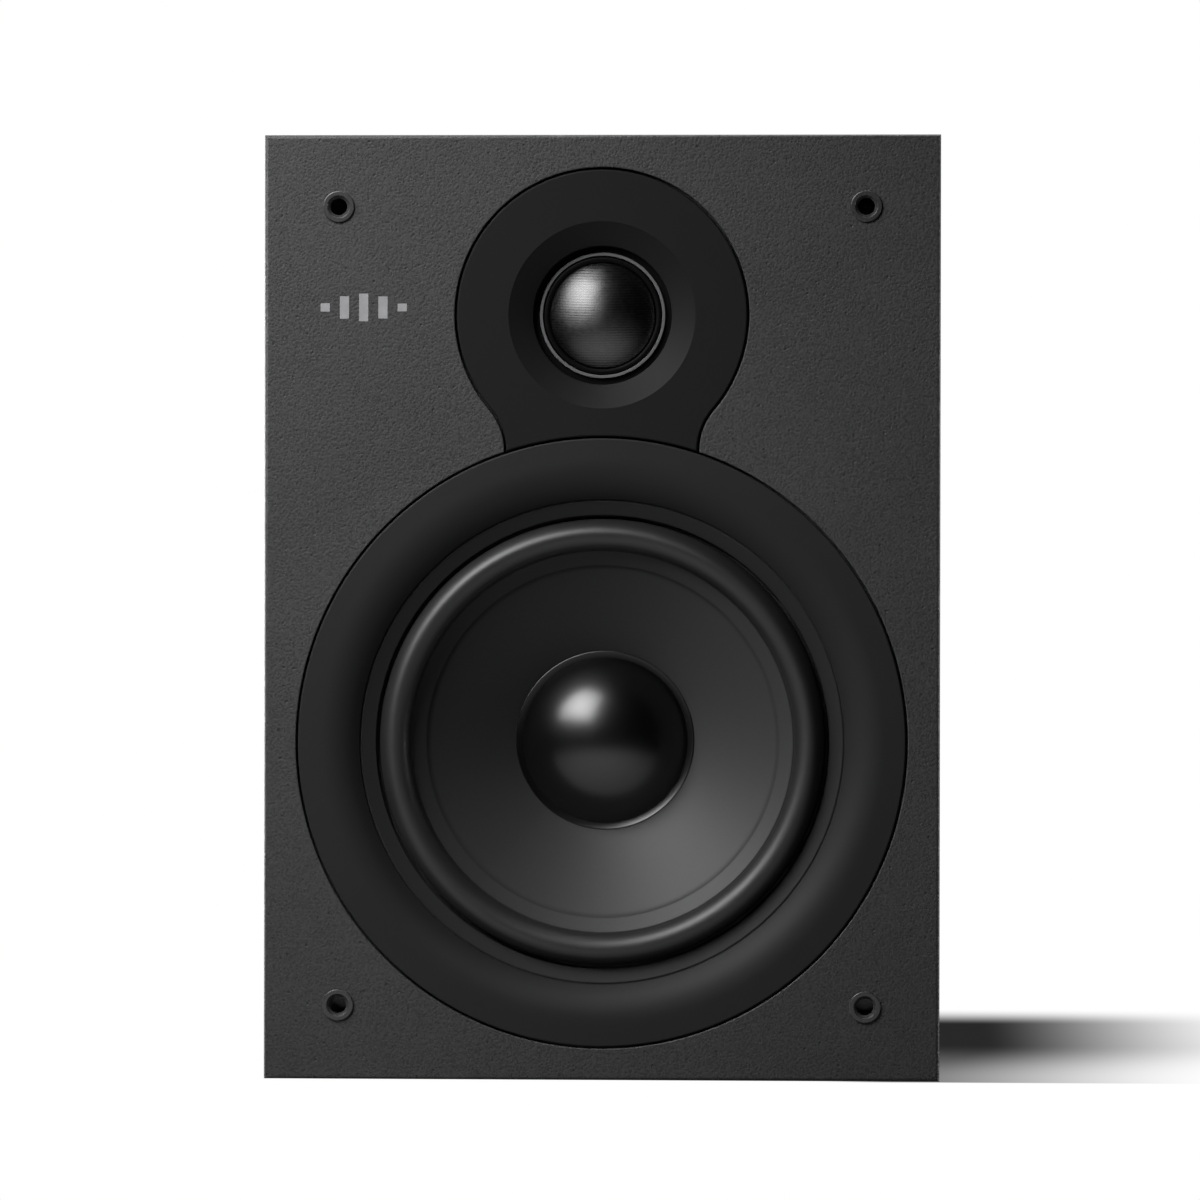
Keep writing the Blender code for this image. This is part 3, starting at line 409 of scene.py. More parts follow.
class Recipe:
    # a geometry node tree with named inputs
    def __init__(self, name, **inputs):
        self.tree = bpy.data.node_groups.new(name, "GeometryNodeTree")
        self.tree.interface.new_socket("Geometry", in_out="OUTPUT", socket_type="NodeSocketGeometry")
        kinds = {float: "NodeSocketFloat", int: "NodeSocketInt", tuple: "NodeSocketVector"}
        for label, value in inputs.items():
            kind = kinds.get(type(value), "NodeSocketMaterial")
            self.tree.interface.new_socket(label, in_out="INPUT", socket_type=kind)
        self.inputs = inputs
        self.start = self.tree.nodes.new("NodeGroupInput")

    def get(self, label):
        return self.start.outputs[label]

    def add(self, kind, settings=None, sockets=None, output=0):
        node = self.tree.nodes.new(kind)
        for label, value in (settings or {}).items():
            setattr(node, label, value)
        for label, value in (sockets or {}).items():
            if isinstance(value, bpy.types.NodeSocket):
                self.tree.links.new(value, node.inputs[label])
            else:
                node.inputs[label].default_value = value
        return node.outputs[output]

    def join(self, *parts):
        node = self.tree.nodes.new("GeometryNodeJoinGeometry")
        for part in parts:
            self.tree.links.new(part, node.inputs[0])
        return node.outputs[0]

    def maths(self, operation, *values):
        return self.add("ShaderNodeMath", {"operation": operation}, dict(enumerate(values)))

    def finish(self, shape):
        real = self.add("GeometryNodeRealizeInstances", None, {"Geometry": shape})
        done = self.add("GeometryNodeSetMaterial", None, {"Geometry": real, "Material": self.get("Finish")})
        end = self.tree.nodes.new("NodeGroupOutput")
        self.tree.links.new(done, end.inputs["Geometry"])

    def make(self, name, sharp=33):
        holder = bpy.data.objects.new(name, bpy.data.meshes.new(name))
        modifier = holder.modifiers.new("recipe", "NODES")
        modifier.node_group = self.tree
        for item in self.tree.interface.items_tree:
            if item.in_out == "INPUT":
                modifier[item.identifier] = self.inputs[item.name]
        bpy.context.scene.collection.objects.link(holder)
        plain(holder)
        holder.data.shade_smooth()
        holder.data.set_sharp_from_angle(angle=math.radians(sharp))
        return holder


print("tools ready")


def vinylWrap():
    # pebble-grained vinyl, a little scuffed and shinier along the cabinet's outer edges
    made = Finish("vinylWrap", (0.0435, 0.0435, 0.0445), 0.46, Specular_IOR_Level=0.4)
    pebble = made.cells(1450.0, "SMOOTH_F1", Smoothness=0.35)
    fine = made.noise(1900.0, 3.0, 0.7)
    broad = made.noise(38.0, 3.0)
    grain = pebble.fade(0.05, 0.75)
    pits = 1 - made.cells(420.0).fade(0.04, 0.2)
    x, y, z = made.axes((0, 0, (baffleLow.z + baffleHigh.z) / 2))
    sides = x.size().fade(baffleHigh.x - 2.2 * mm, baffleHigh.x)
    ends = z.size().fade((baffleHigh.z - baffleLow.z) / 2 - 2.2 * mm, (baffleHigh.z - baffleLow.z) / 2)
    front = 1 - (y - baffleLow.y).fade(0.2 * mm, 2.4 * mm)
    edges = (sides * ends).most(sides * front).most(ends * front)
    scuff = edges * made.noise(160.0, 4.0).fade(0.52, 0.72)
    mottle = grain * 0.3 + broad * 0.2 + fine.fade(0.3, 0.7) * 0.5 + scuff * 0.5
    made.tint(mottle - pits * 0.5, 0.5, 1.52)
    made.set("Roughness", 0.4 + grain * 0.1 + broad * 0.1 - scuff * 0.1)
    made.bump(grain * 0.6 + fine * 0.8 - pits * 0.8, 0.07 * mm, 1.0)
    return made


def grained(name, colour, roughness, grain, cloud=None, tones=(0.6, 0.4), shades=(0.8, 1.25),
            spread=(0.5, 0.1, 0.0), bump=(0.01, 0.5), metallic=0.0, **fixed):
    # one fine noise for the grain and a broad one for the cloud. tones are their shares in the colour,
    # shades its darkest and lightest strength. spread is the lowest roughness and what each noise adds
    made = Finish(name, colour, roughness, metallic, **fixed)
    fine = made.noise(*grain)
    broad = made.noise(*cloud) if cloud else fine
    made.tint(fine * tones[0] + broad * tones[1], *shades)
    made.set("Roughness", spread[0] + fine * spread[1] + broad * spread[2])
    made.bump(fine, bump[0] * mm, bump[1])
    return made


def satinMoulding(name, tone, gloss):
    # smooth black plastic with faint flow and handling marks
    flow = (24.0, 3.0, 0.5, 0.6)
    return grained(name, (tone, tone, tone * 1.03), gloss, (3200.0, 2.0), flow, (0.4, 0.6), (0.85, 1.16),
                   (gloss - 0.05, 0.05, 0.06), (0.006, 0.5), Specular_IOR_Level=0.25)


def metal(name, colour, roughness, scale=900.0, stretch=(1, 1, 1), depth=0.01):
    # plated or rolled metal with a faint lay and tarnish
    lay, tarnish = (scale, 4.0, 0.6, 0.0, stretch), (130.0, 4.0, 0.6)
    return grained(name, colour, roughness, lay, tarnish, (0.3, 0.7), (0.8, 1.12),
                   (roughness - 0.06, 0.08, 0.08), (depth, 0.5), 1.0)


def shell(name, colour, roughness, scale=1500.0):
    # glossy moulded plastic, rubbed in places
    made = Finish(name, colour, roughness, Specular_IOR_Level=0.55)
    speckle = made.noise(scale, 3.0, 0.6)
    rub = made.noise(210.0, 4.0).fade(0.45, 0.7)
    made.tint(speckle * 0.6 + rub * 0.4, 0.86, 1.15)
    made.set("Roughness", roughness - 0.04 + speckle * 0.06 + rub * 0.08)
    made.bump(speckle, 0.008 * mm, 0.5)
    return made


def conePulp(centre):
    # mineral-filled cone: fibres that run outwards, and very faint rings
    made = Finish("conePulp", (0.035, 0.035, 0.036), 0.46, Specular_IOR_Level=0.42)
    x, _, z = made.axes(centre)
    radius = made.sum("SQRT", x * x + z * z)
    angle = made.sum("ARCTAN2", z, x)
    polar = made.add("ShaderNodeCombineXYZ", None, {"X": angle * 22.0, "Y": radius * 260.0, "Z": 0.0})
    streak = made.noise(3.0, 3.0, 0.6, where=polar)
    fibre = made.noise(1300.0, 4.0, 0.65)
    rings = (radius * 5200.0).wave() * 0.5 + 0.5
    made.tint(streak * 0.5 + fibre * 0.5, 0.78, 1.24)
    made.set("Roughness", 0.4 + fibre * 0.14 + streak * 0.05)
    made.bump(fibre * 0.8 + rings * 0.15, 0.014 * mm, 0.6)
    return made


def domeSilk():
    # coated woven fabric: threads across and up, softened by the coating
    shine = {"Specular_IOR_Level": 1.0, "IOR": 1.62, "Coat_Weight": 1.0, "Coat_Roughness": 0.24}
    made = Finish("domeSilk", (0.001, 0.001, 0.0012), 0.4, **shine)
    threads = 16500.0
    x, _, z = made.axes()
    across = (z * threads).wave() * 0.5 + 0.5
    upright = (x * threads).wave() * 0.5 + 0.5
    slub = made.noise(700.0, 3.0, 0.6)
    weave = across * (0.75 + slub * 0.5) + upright * 0.35
    made.tint(weave * 0.4 + slub * 0.4, 0.75, 1.3)
    made.set("Roughness", 0.2 + slub * 0.1 + across * 0.05)
    made.bump(weave, 0.032 * mm, 1.0)
    return made


def ferriteBlock():
    # ground on its faces, chipped at the edges
    made = Finish("ferriteBlock", (0.06, 0.06, 0.066), 0.72)
    grind = made.noise(1100.0, 5.0, 0.7, stretch=(1, 9, 1))
    chips = made.cells(520.0).fade(0.0, 0.18)
    made.tint(grind * 0.7 + (1 - chips) * 0.3, 0.7, 1.35)
    made.set("Roughness", 0.6 + grind * 0.2)
    made.bump(grind * 0.5 + chips * 0.5, 0.06 * mm, 0.6)
    return made


def treatedCloth():
    # open weave of the spider, seen from the front, with slubs
    made = Finish("treatedCloth", (0.5, 0.36, 0.15), 0.85)
    threads = 5200.0
    x, _, z = made.axes()
    warp = (x * threads).wave() * 0.5 + 0.5
    weft = (z * threads).wave() * 0.5 + 0.5
    slub = made.noise(500.0, 4.0, 0.65)
    weave = warp * weft
    made.tint(weave * 0.6 + slub * 0.5, 0.6, 1.25)
    made.set("Roughness", 0.77 + slub * 0.16)
    made.bump(weave + slub * 0.4, 0.09 * mm, 0.8)
    return made


def foam():
    made = Finish("foam", (0.03, 0.03, 0.031), 0.9)
    pores = made.cells(1700.0).fade(0.1, 0.6)
    made.tint(pores, 0.45, 1.4)
    made.set("Roughness", 0.82 + pores * 0.12)
    made.bump(pores, 0.12 * mm, 0.8)
    return made


def cement():
    made = Finish("cement", (0.74, 0.72, 0.68), 0.85)
    grit = made.noise(1500.0, 5.0, 0.7)
    pits = made.cells(620.0).fade(0.02, 0.16)
    made.tint(grit * 0.5 + pits * 0.5, 0.7, 1.1)
    made.set("Roughness", 0.78 + grit * 0.15)
    made.bump(grit * 0.4 + pits * 0.6, 0.08 * mm, 0.8)
    return made


capShine = {"Specular_IOR_Level": 1.0, "Coat_Weight": 0.5, "Coat_Roughness": 0.26}
wireShine = {"Coat_Weight": 0.5, "Coat_Roughness": 0.12}
fleeceSheen = {"Sheen_Weight": 0.35, "Sheen_Roughness": 0.5}
finishes = {
    "vinyl": vinylWrap(),
    # black paint rolled on fibreboard
    "board": grained("rearBoard", (0.04, 0.04, 0.041), 0.62, (900.0, 4.0, 0.6), (45.0, 3.0), (0.5, 0.5),
                     (0.72, 1.3), (0.52, 0.2, 0.0), (0.05, 0.6)),
    "satin": satinMoulding("satinMoulding", 0.0178, 0.54),
    "plate": satinMoulding("plateMoulding", 0.0062, 0.6),
    # spark-eroded plastic of the port and the terminal cup
    "spark": grained("sparkMoulding", (0.022, 0.022, 0.023), 0.55, (2100.0, 3.0, 0.65), (60.0, 3.0),
                     (0.6, 0.4), (0.78, 1.25), (0.45, 0.2, 0.0), (0.03, 0.7), Specular_IOR_Level=0.45),
    "socket": grained("socketMoulding", (0.05, 0.05, 0.051), 0.26, (2800.0, 3.0), None, (1.0, 0.0),
                      (0.85, 1.15), (0.2, 0.12, 0.0), Specular_IOR_Level=0.9),
    # moulded rubber with a fine bloom
    "rubber": grained("surroundRubber", (0.017, 0.017, 0.0175), 0.42, (2400.0, 2.0), (70.0, 4.0, 0.6),
                      (0.3, 0.7), (0.8, 1.25), (0.36, 0.06, 0.1), (0.02, 0.6), Specular_IOR_Level=0.85),
    "cap": grained("capGloss", (0.001, 0.001, 0.0012), 0.34, (1900.0, 3.0, 0.6), (90.0, 3.0), (0.5, 0.5),
                   (0.8, 1.25), (0.25, 0.05, 0.05), (0.007, 0.6), **capShine),
    "silk": domeSilk(),
    "ring": grained("ringRubber", (0.001, 0.001, 0.001), 0.6, (1600.0, 3.0), None, (1.0, 0.0),
                    (0.8, 1.25), (0.46, 0.1, 0.0), (0.008, 0.5), Specular_IOR_Level=0.12),
    # pale grey of the bead: a painted highlight where the roll's crest catches the key light
    "bead": satinMoulding("beadHighlightGrey", 0.13, 0.4),
    "gold": metal("goldPlate", (0.83, 0.6, 0.24), 0.22),
    "zinc": metal("zincPlate", (0.58, 0.59, 0.6), 0.38, 700.0, (1, 6, 1), 0.02),
    "foil": metal("formerFoil", (0.72, 0.72, 0.73), 0.36, 600.0, (1, 8, 1), 0.015),
    "screw": metal("blackZinc", (0.05, 0.05, 0.055), 0.4, 1400.0),
    "tin": metal("tinned", (0.7, 0.7, 0.68), 0.3),
    "red": shell("redShell", (0.5, 0.008, 0.01), 0.3),
    "black": shell("blackShell", (0.014, 0.014, 0.015), 0.3),
    "mark": shell("paleMark", (0.34, 0.34, 0.35), 0.4),
    "film": shell("yellowTape", (0.72, 0.5, 0.06), 0.4, 500.0),
    "sleeve": shell("blueSleeve", (0.015, 0.03, 0.12), 0.33, 700.0),
    "lead": shell("leadSleeve", (0.028, 0.028, 0.028), 0.48, 900.0),
    # powder coat with orange peel
    "frame": grained("blackPaint", (0.028, 0.028, 0.028), 0.5, (1300.0, 3.0, 0.6), None, (1.0, 0.0),
                     (0.8, 1.22), (0.42, 0.16, 0.0), (0.03, 0.6)),
    "ferrite": ferriteBlock(),
    "spider": treatedCloth(),
    "foam": foam(),
    # brown paper laminate with pressed fibres
    "laminate": grained("laminate", (0.33, 0.2, 0.075), 0.55, (420.0, 5.0, 0.65, 0.4, (1, 1, 3.5)),
                        (60.0, 3.0), (0.6, 0.4), (0.72, 1.25), (0.44, 0.18, 0.0), (0.02, 0.6)),
    "copper": grained("enamelledCopper", (0.72, 0.3, 0.12), 0.3, (260.0, 4.0), None, (1.0, 0.0),
                      (0.72, 1.2), (0.22, 0.18, 0.0), (0.01, 0.4), 1.0, **wireShine),
    "cement": cement(),
    "fleece": grained("fleece", (0.78, 0.78, 0.75), 0.95, (520.0, 6.0, 0.75, 1.4), (45.0, 3.0), (0.6, 0.4),
                      (0.72, 1.12), (0.88, 0.1, 0.0), (0.5, 0.8), **fleeceSheen),
}
print(len(finishes), "finishes")


def setStage():
    # white floor with one painted soft shadow beside the cabinet
    ground = Finish("paleFloor", (0.9, 0.9, 0.9), 0.8, Specular_IOR_Level=0.2)
    ground.tint(ground.noise(floorSet["grain"], 3.0), floorSet["grainLow"], 1.0)
    x, y, _ = ground.axes()
    patch = paintedShadowPatch
    core = y.fade(*patch["core"])
    # inside is the mask of the painted shadow: there the camera sees the near-black dim floor in place of
    # the white glow
    inside = x.fade(*patch["edge"]) * (1 - (x - patch["spread"] * core).fade(*patch["end"]))
    inside = inside * (1 - y.fade(*patch["back"])) * y.fade(*patch["front"])
    inside = inside * (patch["strength"] + patch["coreStrength"] * core)
    camera = ground.add("ShaderNodeLightPath", None, None, "Is Camera Ray")
    glossy = ground.add("ShaderNodeLightPath", None, None, "Is Glossy Ray")
    glow = ground.add("ShaderNodeEmission", None, {"Color": (1, 1, 1, 1), "Strength": 1.0})
    dim = ground.add("ShaderNodeBsdfDiffuse", None, {"Color": (floorSet["bounce"],) * 3 + (1,)})
    mirror = ground.add("ShaderNodeEmission", None, {"Color": (1, 1, 1, 1), "Strength": floorSet["mirror"]})
    shown = ground.add("ShaderNodeMixShader", None, {"Fac": inside, 1: glow, 2: dim})
    across, along = x - floorSet["poolX"], y - floorSet["poolY"]
    pool = 1 - ground.sum("SQRT", across * across + along * along).fade(*floorSet["pool"])
    unseen = ground.add("ShaderNodeMixShader", None, {"Fac": glossy * pool, 1: dim, 2: mirror})
    both = ground.add("ShaderNodeMixShader", None, {"Fac": camera, 1: unseen, 2: shown})
    ground.feed(ground.tree.nodes["Material Output"].inputs["Surface"], both)
    bm = bmesh.new()
    bmesh.ops.create_circle(bm, cap_ends=True, segments=96, radius=floorSet["radius"])
    sheet = bpy.data.meshes.new("floor")
    bm.to_mesh(sheet)
    bm.free()
    sheet.materials.append(ground.material)
    floor = bpy.data.objects.new("floor", sheet)
    bpy.context.scene.collection.objects.link(floor)

    world = bpy.data.worlds.new("room")
    world.use_nodes = True
    bpy.context.scene.world = world
    tree = world.node_tree
    seen = tree.nodes.new("ShaderNodeLightPath")
    shade = tree.nodes.new("ShaderNodeMix")
    shade.data_type = "RGBA"
    shade.inputs[6].default_value = (worldGrey, worldGrey, worldGrey, 1)
    shade.inputs[7].default_value = (1, 1, 1, 1)
    tree.links.new(seen.outputs["Is Camera Ray"], shade.inputs["Factor"])
    tree.links.new(shade.outputs[2], tree.nodes["Background"].inputs["Color"])
    bpy.context.scene.view_settings.view_transform = "Standard"


setCamera()
for name, values in lightRig.items():
    softbox(name, values)
setStage()
print("camera, light and floor set")


# lengths in mm. sideX and endZ tell a panel's outer edges from its inner ones, measured from the middle
cabinet = {
    "sideX": 80.0,
    "endZ": 112.0,
    "panelEdge": 0.35,
    "boardEdge": 0.9,
    "boardRounds": 4,
    "over": 2.0,
    "lip": 0.25,
    "recess": 3.3,
    "seatRadius": 66.5,
    "seatDepth": 7.7,
    "wooferHole": 57.5,
    "tweeterHole": 28.0,
}
trimLow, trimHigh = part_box("woofer_trim_ring")
plateLow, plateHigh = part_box("tweeter_faceplate")
wooferCentre = Vector(((trimLow.x + trimHigh.x) / 2, frontY, (trimLow.z + trimHigh.z) / 2))
trimRadius = (trimHigh.x - trimLow.x) / 2
plateRadius = (plateHigh.x - plateLow.x) / 2
tweeterCentre = Vector((wooferCentre.x, frontY, plateHigh.z - plateRadius))
groove = 0.5 * mm


def panel(name):
    # the panel's own shape with its long outer edges softened
    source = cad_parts[name]
    bm = bmesh.new()
    bm.from_mesh(source.data)
    bmesh.ops.remove_doubles(bm, verts=bm.verts, dist=0.001 * mm)
    bmesh.ops.dissolve_limit(bm, angle_limit=math.radians(1), verts=bm.verts, edges=bm.edges)
    middle = Vector((0, 0, (baffleLow.z + baffleHigh.z) / 2))
    sideX, endZ = cabinet["sideX"] * mm, cabinet["endZ"] * mm
    soft = []
    for edge in bm.edges:
        ends = [vertex.co - middle for vertex in edge.verts]
        if all(abs(end.x) > sideX or abs(end.z) > endZ for end in ends):
            soft.append(edge)
    edge = cabinet["panelEdge"] * mm
    bmesh.ops.bevel(bm, geom=soft, offset=edge, segments=3, profile=0.5, affect="EDGES")
    piece = meshPiece(name + "Skin", bm, 40)
    return fit(piece, finishes["vinyl"], "cabinet", [name])


def keyhole(grow, lowRadius):
    # outline of the tweeter plate about its axis; its foot follows a circle about the woofer
    neckHalf, fillet = 22.75 * mm, 15.25 * mm
    centreX = neckHalf + fillet
    reach = plateRadius + fillet
    lean = math.acos(centreX / reach)
    centreZ = -reach * math.sin(lean)
    down = tweeterCentre.z - wooferCentre.z
    bend = fillet - grow
    rise = centreZ + down
    span = math.hypot(centreX, rise)
    meet = math.acos((bend**2 + span**2 - lowRadius**2) / (2 * bend * span)) - math.atan2(rise, centreX)
    foot = math.asin((centreX - bend * math.cos(meet)) / lowRadius)
    head = arc((0, 0), plateRadius + grow, -lean, math.pi + lean, 150)
    left = arc((-centreX, centreZ), bend, lean, meet, 26)
    floor = arc((0, -down), lowRadius, math.pi / 2 + foot, math.pi / 2 - foot, 60)
    right = arc((centreX, centreZ), bend, math.pi - meet, math.pi - lean, 26)
    return head + left[1:] + floor[1:-1] + right[:-1]


def baffle():
    # board with a soft front edge, a lipped recess for the trim and the plate, and a plain hole for each
    # grille socket
    bm = bmesh.new()
    bmesh.ops.create_cube(bm, size=1)
    span = baffleHigh - baffleLow
    bmesh.ops.scale(bm, verts=bm.verts, vec=span)
    bmesh.ops.translate(bm, verts=bm.verts, vec=(baffleLow + baffleHigh) / 2)
    front = [edge for edge in bm.edges if all(v.co.y < frontY + 0.01 * mm for v in edge.verts)]
    edge, rounds = cabinet["boardEdge"] * mm, cabinet["boardRounds"]
    bmesh.ops.bevel(bm, geom=front, offset=edge, segments=rounds, profile=0.5, affect="EDGES")
    board = meshPiece("baffleBoard", bm, 40)

    names = ("lip", "over", "recess", "seatRadius", "seatDepth", "wooferHole", "tweeterHole")
    lip, over, deep, seatRadius, seatDepth, wooferHole, tweeterHole = [cabinet[name] * mm for name in names]

    def flared(radius):
        rim = [(radius + lip * 3, -over), (radius + lip, 0)]
        return rim + [(radius + lip * 0.3, lip * 0.3), (radius, lip)]

    through = baffleHigh.y - frontY + over
    seat = flared(trimRadius + groove) + [(trimRadius + groove, deep), (seatRadius, deep)]
    seat += [(seatRadius, seatDepth), (wooferHole, seatDepth), (wooferHole, through)]
    hole = [(0, -over)] + seat + [(0, through)]
    woofer = meshPiece("wooferSeat", turned(hole, wooferCentre, 256))
    hole = [(0, 0), (tweeterHole, 0), (tweeterHole, through), (0, through)]
    tweeter = meshPiece("tweeterSeat", turned(hole, tweeterCentre, 96))
    layers = []
    for grow, depth in ((lip * 3, -over), (lip, 0), (lip * 0.3, lip * 0.3), (0, lip), (0, deep)):
        ring = keyhole(groove + grow, trimRadius - 2 * mm)
        layers.append([(x, depth, z) for x, z in ring])
    plate = meshPiece("plateSeat", lofted(layers, tweeterCentre))
    carve(board, woofer)
    carve(board, plate)
    carve(board, tweeter)
    holes = []
    for name in socketNames:
        low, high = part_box(name)
        centre = ((low.x + high.x) / 2, frontY, (low.z + high.z) / 2)
        radius = (high.x - low.x) / 2 - 0.45 * mm
        edge = [(radius, -over), (radius, 11.3 * mm), (0, 11.3 * mm)]
        holes.append(meshPiece(name + "Seat", turned([(0, -over)] + edge, centre, 48)))
    carve(board, *holes)
    mesh = board.data
    mesh.shade_smooth()
    mesh.set_sharp_from_angle(angle=math.radians(24))
    for face in mesh.polygons:
        if abs(face.normal.y) > 0.9999 or max(abs(face.normal.x), abs(face.normal.z)) > 0.9999:
            face.use_smooth = False
    return fit(board, finishes["vinyl"], "cabinet", ["front_baffle"])


corners = ("upper_left", "upper_right", "lower_left", "lower_right")
socketNames = ["grille_socket_" + corner for corner in corners]
for name in ("top_panel", "bottom_panel", "left_panel", "right_panel"):
    panel(name)
baffle()
print("cabinet made")


socket = {"proud": 0.6, "rim": 3.75, "mouth": 2.7, "bore": 2.0, "body": 2.9, "depth": 11.0}


def grilleSocket(name):
    low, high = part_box(name)
    centre = ((low.x + high.x) / 2, frontY, (low.z + high.z) / 2)
    s = socket
    corners = [
        (0, s["depth"] - 1, 0),
        (s["bore"], s["depth"] - 1, 0),
        (s["bore"], 0.25, 0.15),
        (s["mouth"], -s["proud"], 0.15),
        (s["rim"], -s["proud"], 0.3),
        (s["rim"], -0.02, 0.05),
        (s["body"], -0.02, 0),
        (s["body"], s["depth"], 0.2),
        (0, s["depth"], 0),
    ]
    outline = rounded([(r * mm, d * mm, f * mm) for r, d, f in corners], 4, 0.04 * mm)
    piece = meshPiece(name + "Insert", turned(outline, centre, 64))
    return fit(piece, finishes["socket"], "cabinet", [name])


printedMark = {
    "bars": 5,
    "left": -66.0,
    "low": 180.6,
    "pitch": 4.6,
    "wide": 2.2,
    "tall": 6.6,
    "thick": 0.03,
}


def levelBars():
    # a plain row of printed bars, low at the ends and tall in the middle
    m = printedMark
    sizes = {"Count": m["bars"], "Pitch": m["pitch"] * mm, "Wide": m["wide"] * mm, "Tall": m["tall"] * mm}
    recipe = Recipe("levelBars", Finish=finishes["mark"].material, **sizes)
    step = recipe.add("ShaderNodeCombineXYZ", None, {"X": recipe.get("Pitch")})
    line = recipe.add("GeometryNodeMeshLine", None, {"Count": recipe.get("Count"), "Offset": step})
    index = recipe.add("GeometryNodeInputIndex")
    share = recipe.maths("DIVIDE", index, recipe.maths("SUBTRACT", recipe.get("Count"), 1))
    swell = recipe.maths("SINE", recipe.maths("MULTIPLY", recipe.maths("ADD", share, 0.12), 2.55))
    tall = recipe.maths("MULTIPLY", recipe.get("Tall"), swell)
    sides = {"X": recipe.get("Wide"), "Y": m["thick"] * 2 * mm, "Z": tall}
    size = recipe.add("ShaderNodeCombineXYZ", None, sides)
    bar = recipe.add("GeometryNodeMeshCube", None, {"Size": (1.0, 1.0, 1.0)})
    spread = {"Points": line, "Instance": bar, "Scale": size}
    placed = recipe.add("GeometryNodeInstanceOnPoints", None, spread)
    shift = (m["left"] * mm, frontY, (m["low"] + m["tall"] / 2) * mm)
    recipe.finish(recipe.add("GeometryNodeTransform", None, {"Geometry": placed, "Translation": shift}))
    fit(recipe.make("levelBars"), finishes["mark"], "cabinet", ())


levelBars()
for name in socketNames:
    grilleSocket(name)
print("grille sockets made")


woofer = {
    "bowlStart": 68.0,
    "bowlEnd": 58.0,
    "bowlDeep": 3.6,
    "bowlCurve": 2.6,
    "lip": 54.1,
    "lipDeep": 5.4,
    "gapDeep": 2.3,
    "rollOuter": 53.3,
    "rollInner": 45.9,
    "rollTop": 1.2,
    "lipEnd": 42.1,
    "lipRise": 0.22,
    "footDepth": 5.3,
    "capEdge": 21.5,
    "capSide": 19.9,
    "capRise": 11.2,
}


def coneDepth(radius):
    # front face of the cone, in mm, steeper towards the neck
    neck, edge = 13.1, 45.8
    share = (edge - radius) / (edge - neck)
    return 6.3 + 20.9 * (0.97 * share + 0.03 * share**3)


def trimRing():
    # flat rim, a bowl that steepens inwards, a fine step and a sloping inner lip
    w = woofer
    outer = trimRadius / mm
    run = w["bowlStart"] - w["bowlEnd"]
    bowl = []
    for step in range(29):
        share = step / 28
        bowl.append((w["bowlStart"] - run * share, w["bowlDeep"] * share ** w["bowlCurve"]))
    deep, lip, lipDeep = w["bowlDeep"], w["lip"], w["lipDeep"]
    corners = [(outer, 3.0, 0.1), (outer, 0.0, 0.4), (w["bowlStart"] + 1.2, 0.0, 0)]
    corners += [(radius, depth, 0) for radius, depth in bowl]
    corners += [(w["bowlEnd"] - 0.15, deep + 0.75, 0.12), (w["bowlEnd"] - 0.6, deep + 0.6, 0.15)]
    corners += [(lip, lipDeep, 0.35), (lip, lipDeep + 0.5, 0.1), (w["bowlEnd"] + 1, lipDeep + 0.5, 0.2)]
    corners += [(w["bowlStart"] - 3, 2.6, 0.4), (66.6, 3.0, 0.1)]
    outline = rounded([(r * mm, d * mm, f * mm) for r, d, f in corners], 6, 0.06 * mm)
    piece = meshPiece("trimRing", turned(outline, wooferCentre, 256), 34)
    return fit(piece, finishes["satin"], "cabinet", ["woofer_trim_ring"])


def surround():
    w = woofer
    thick = 0.5
    middle = (w["rollOuter"] + w["rollInner"]) / 2
    half = (w["rollOuter"] - w["rollInner"]) / 2
    foot = w["footDepth"]

    low = w["lipDeep"] + w["gapDeep"]

    def rollOver(shrink, pieces):
        # the outer side comes down lower than the inner side
        line = []
        for step in range(pieces + 1):
            turn = math.pi * step / pieces
            sink = low if turn < math.pi / 2 else foot
            sink += shrink
            rise = sink - w["rollTop"] - shrink
            line.append((middle + (half - shrink) * math.cos(turn), sink - rise * math.sin(turn) ** 0.92))
        return line

    front = [(57.2, low), (w["rollOuter"] + 0.5, low), (w["rollOuter"] + 0.1, low - 0.15)]
    front += rollOver(0, 32) + [(45.4, coneDepth(45.4) - 0.12), (45.0, coneDepth(45.0) + 0.1)]
    back = [(45.0, coneDepth(45.0) + 0.3)] + rollOver(thick, 24)[::-1]
    back += [(w["rollOuter"] + 0.1, low + thick), (57.2, low + thick)]
    outline = [(radius * mm, depth * mm) for radius, depth in front + back]
    piece = meshPiece("surroundRoll", turned(outline, wooferCentre, 224), 50)
    piece.data.materials.append(finishes["rubber"].material)
    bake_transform(piece)
    radialBlend(piece, wooferCentre, w["rollOuter"] * mm, w["rollInner"] * mm)
    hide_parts("woofer_surround")


def radialBlend(piece, centre, fixed, moving):
    # works out a smooth share from the fixed outer radius to the moving inner radius for each vertex, and
    # does nothing with it
    for vertex in piece.data.vertices:
        radius = math.hypot(vertex.co.x - centre[0], vertex.co.z - centre[2])
        share = min(1.0, max(0.0, (fixed - radius) / (fixed - moving)))
        share * share * (3 - 2 * share)


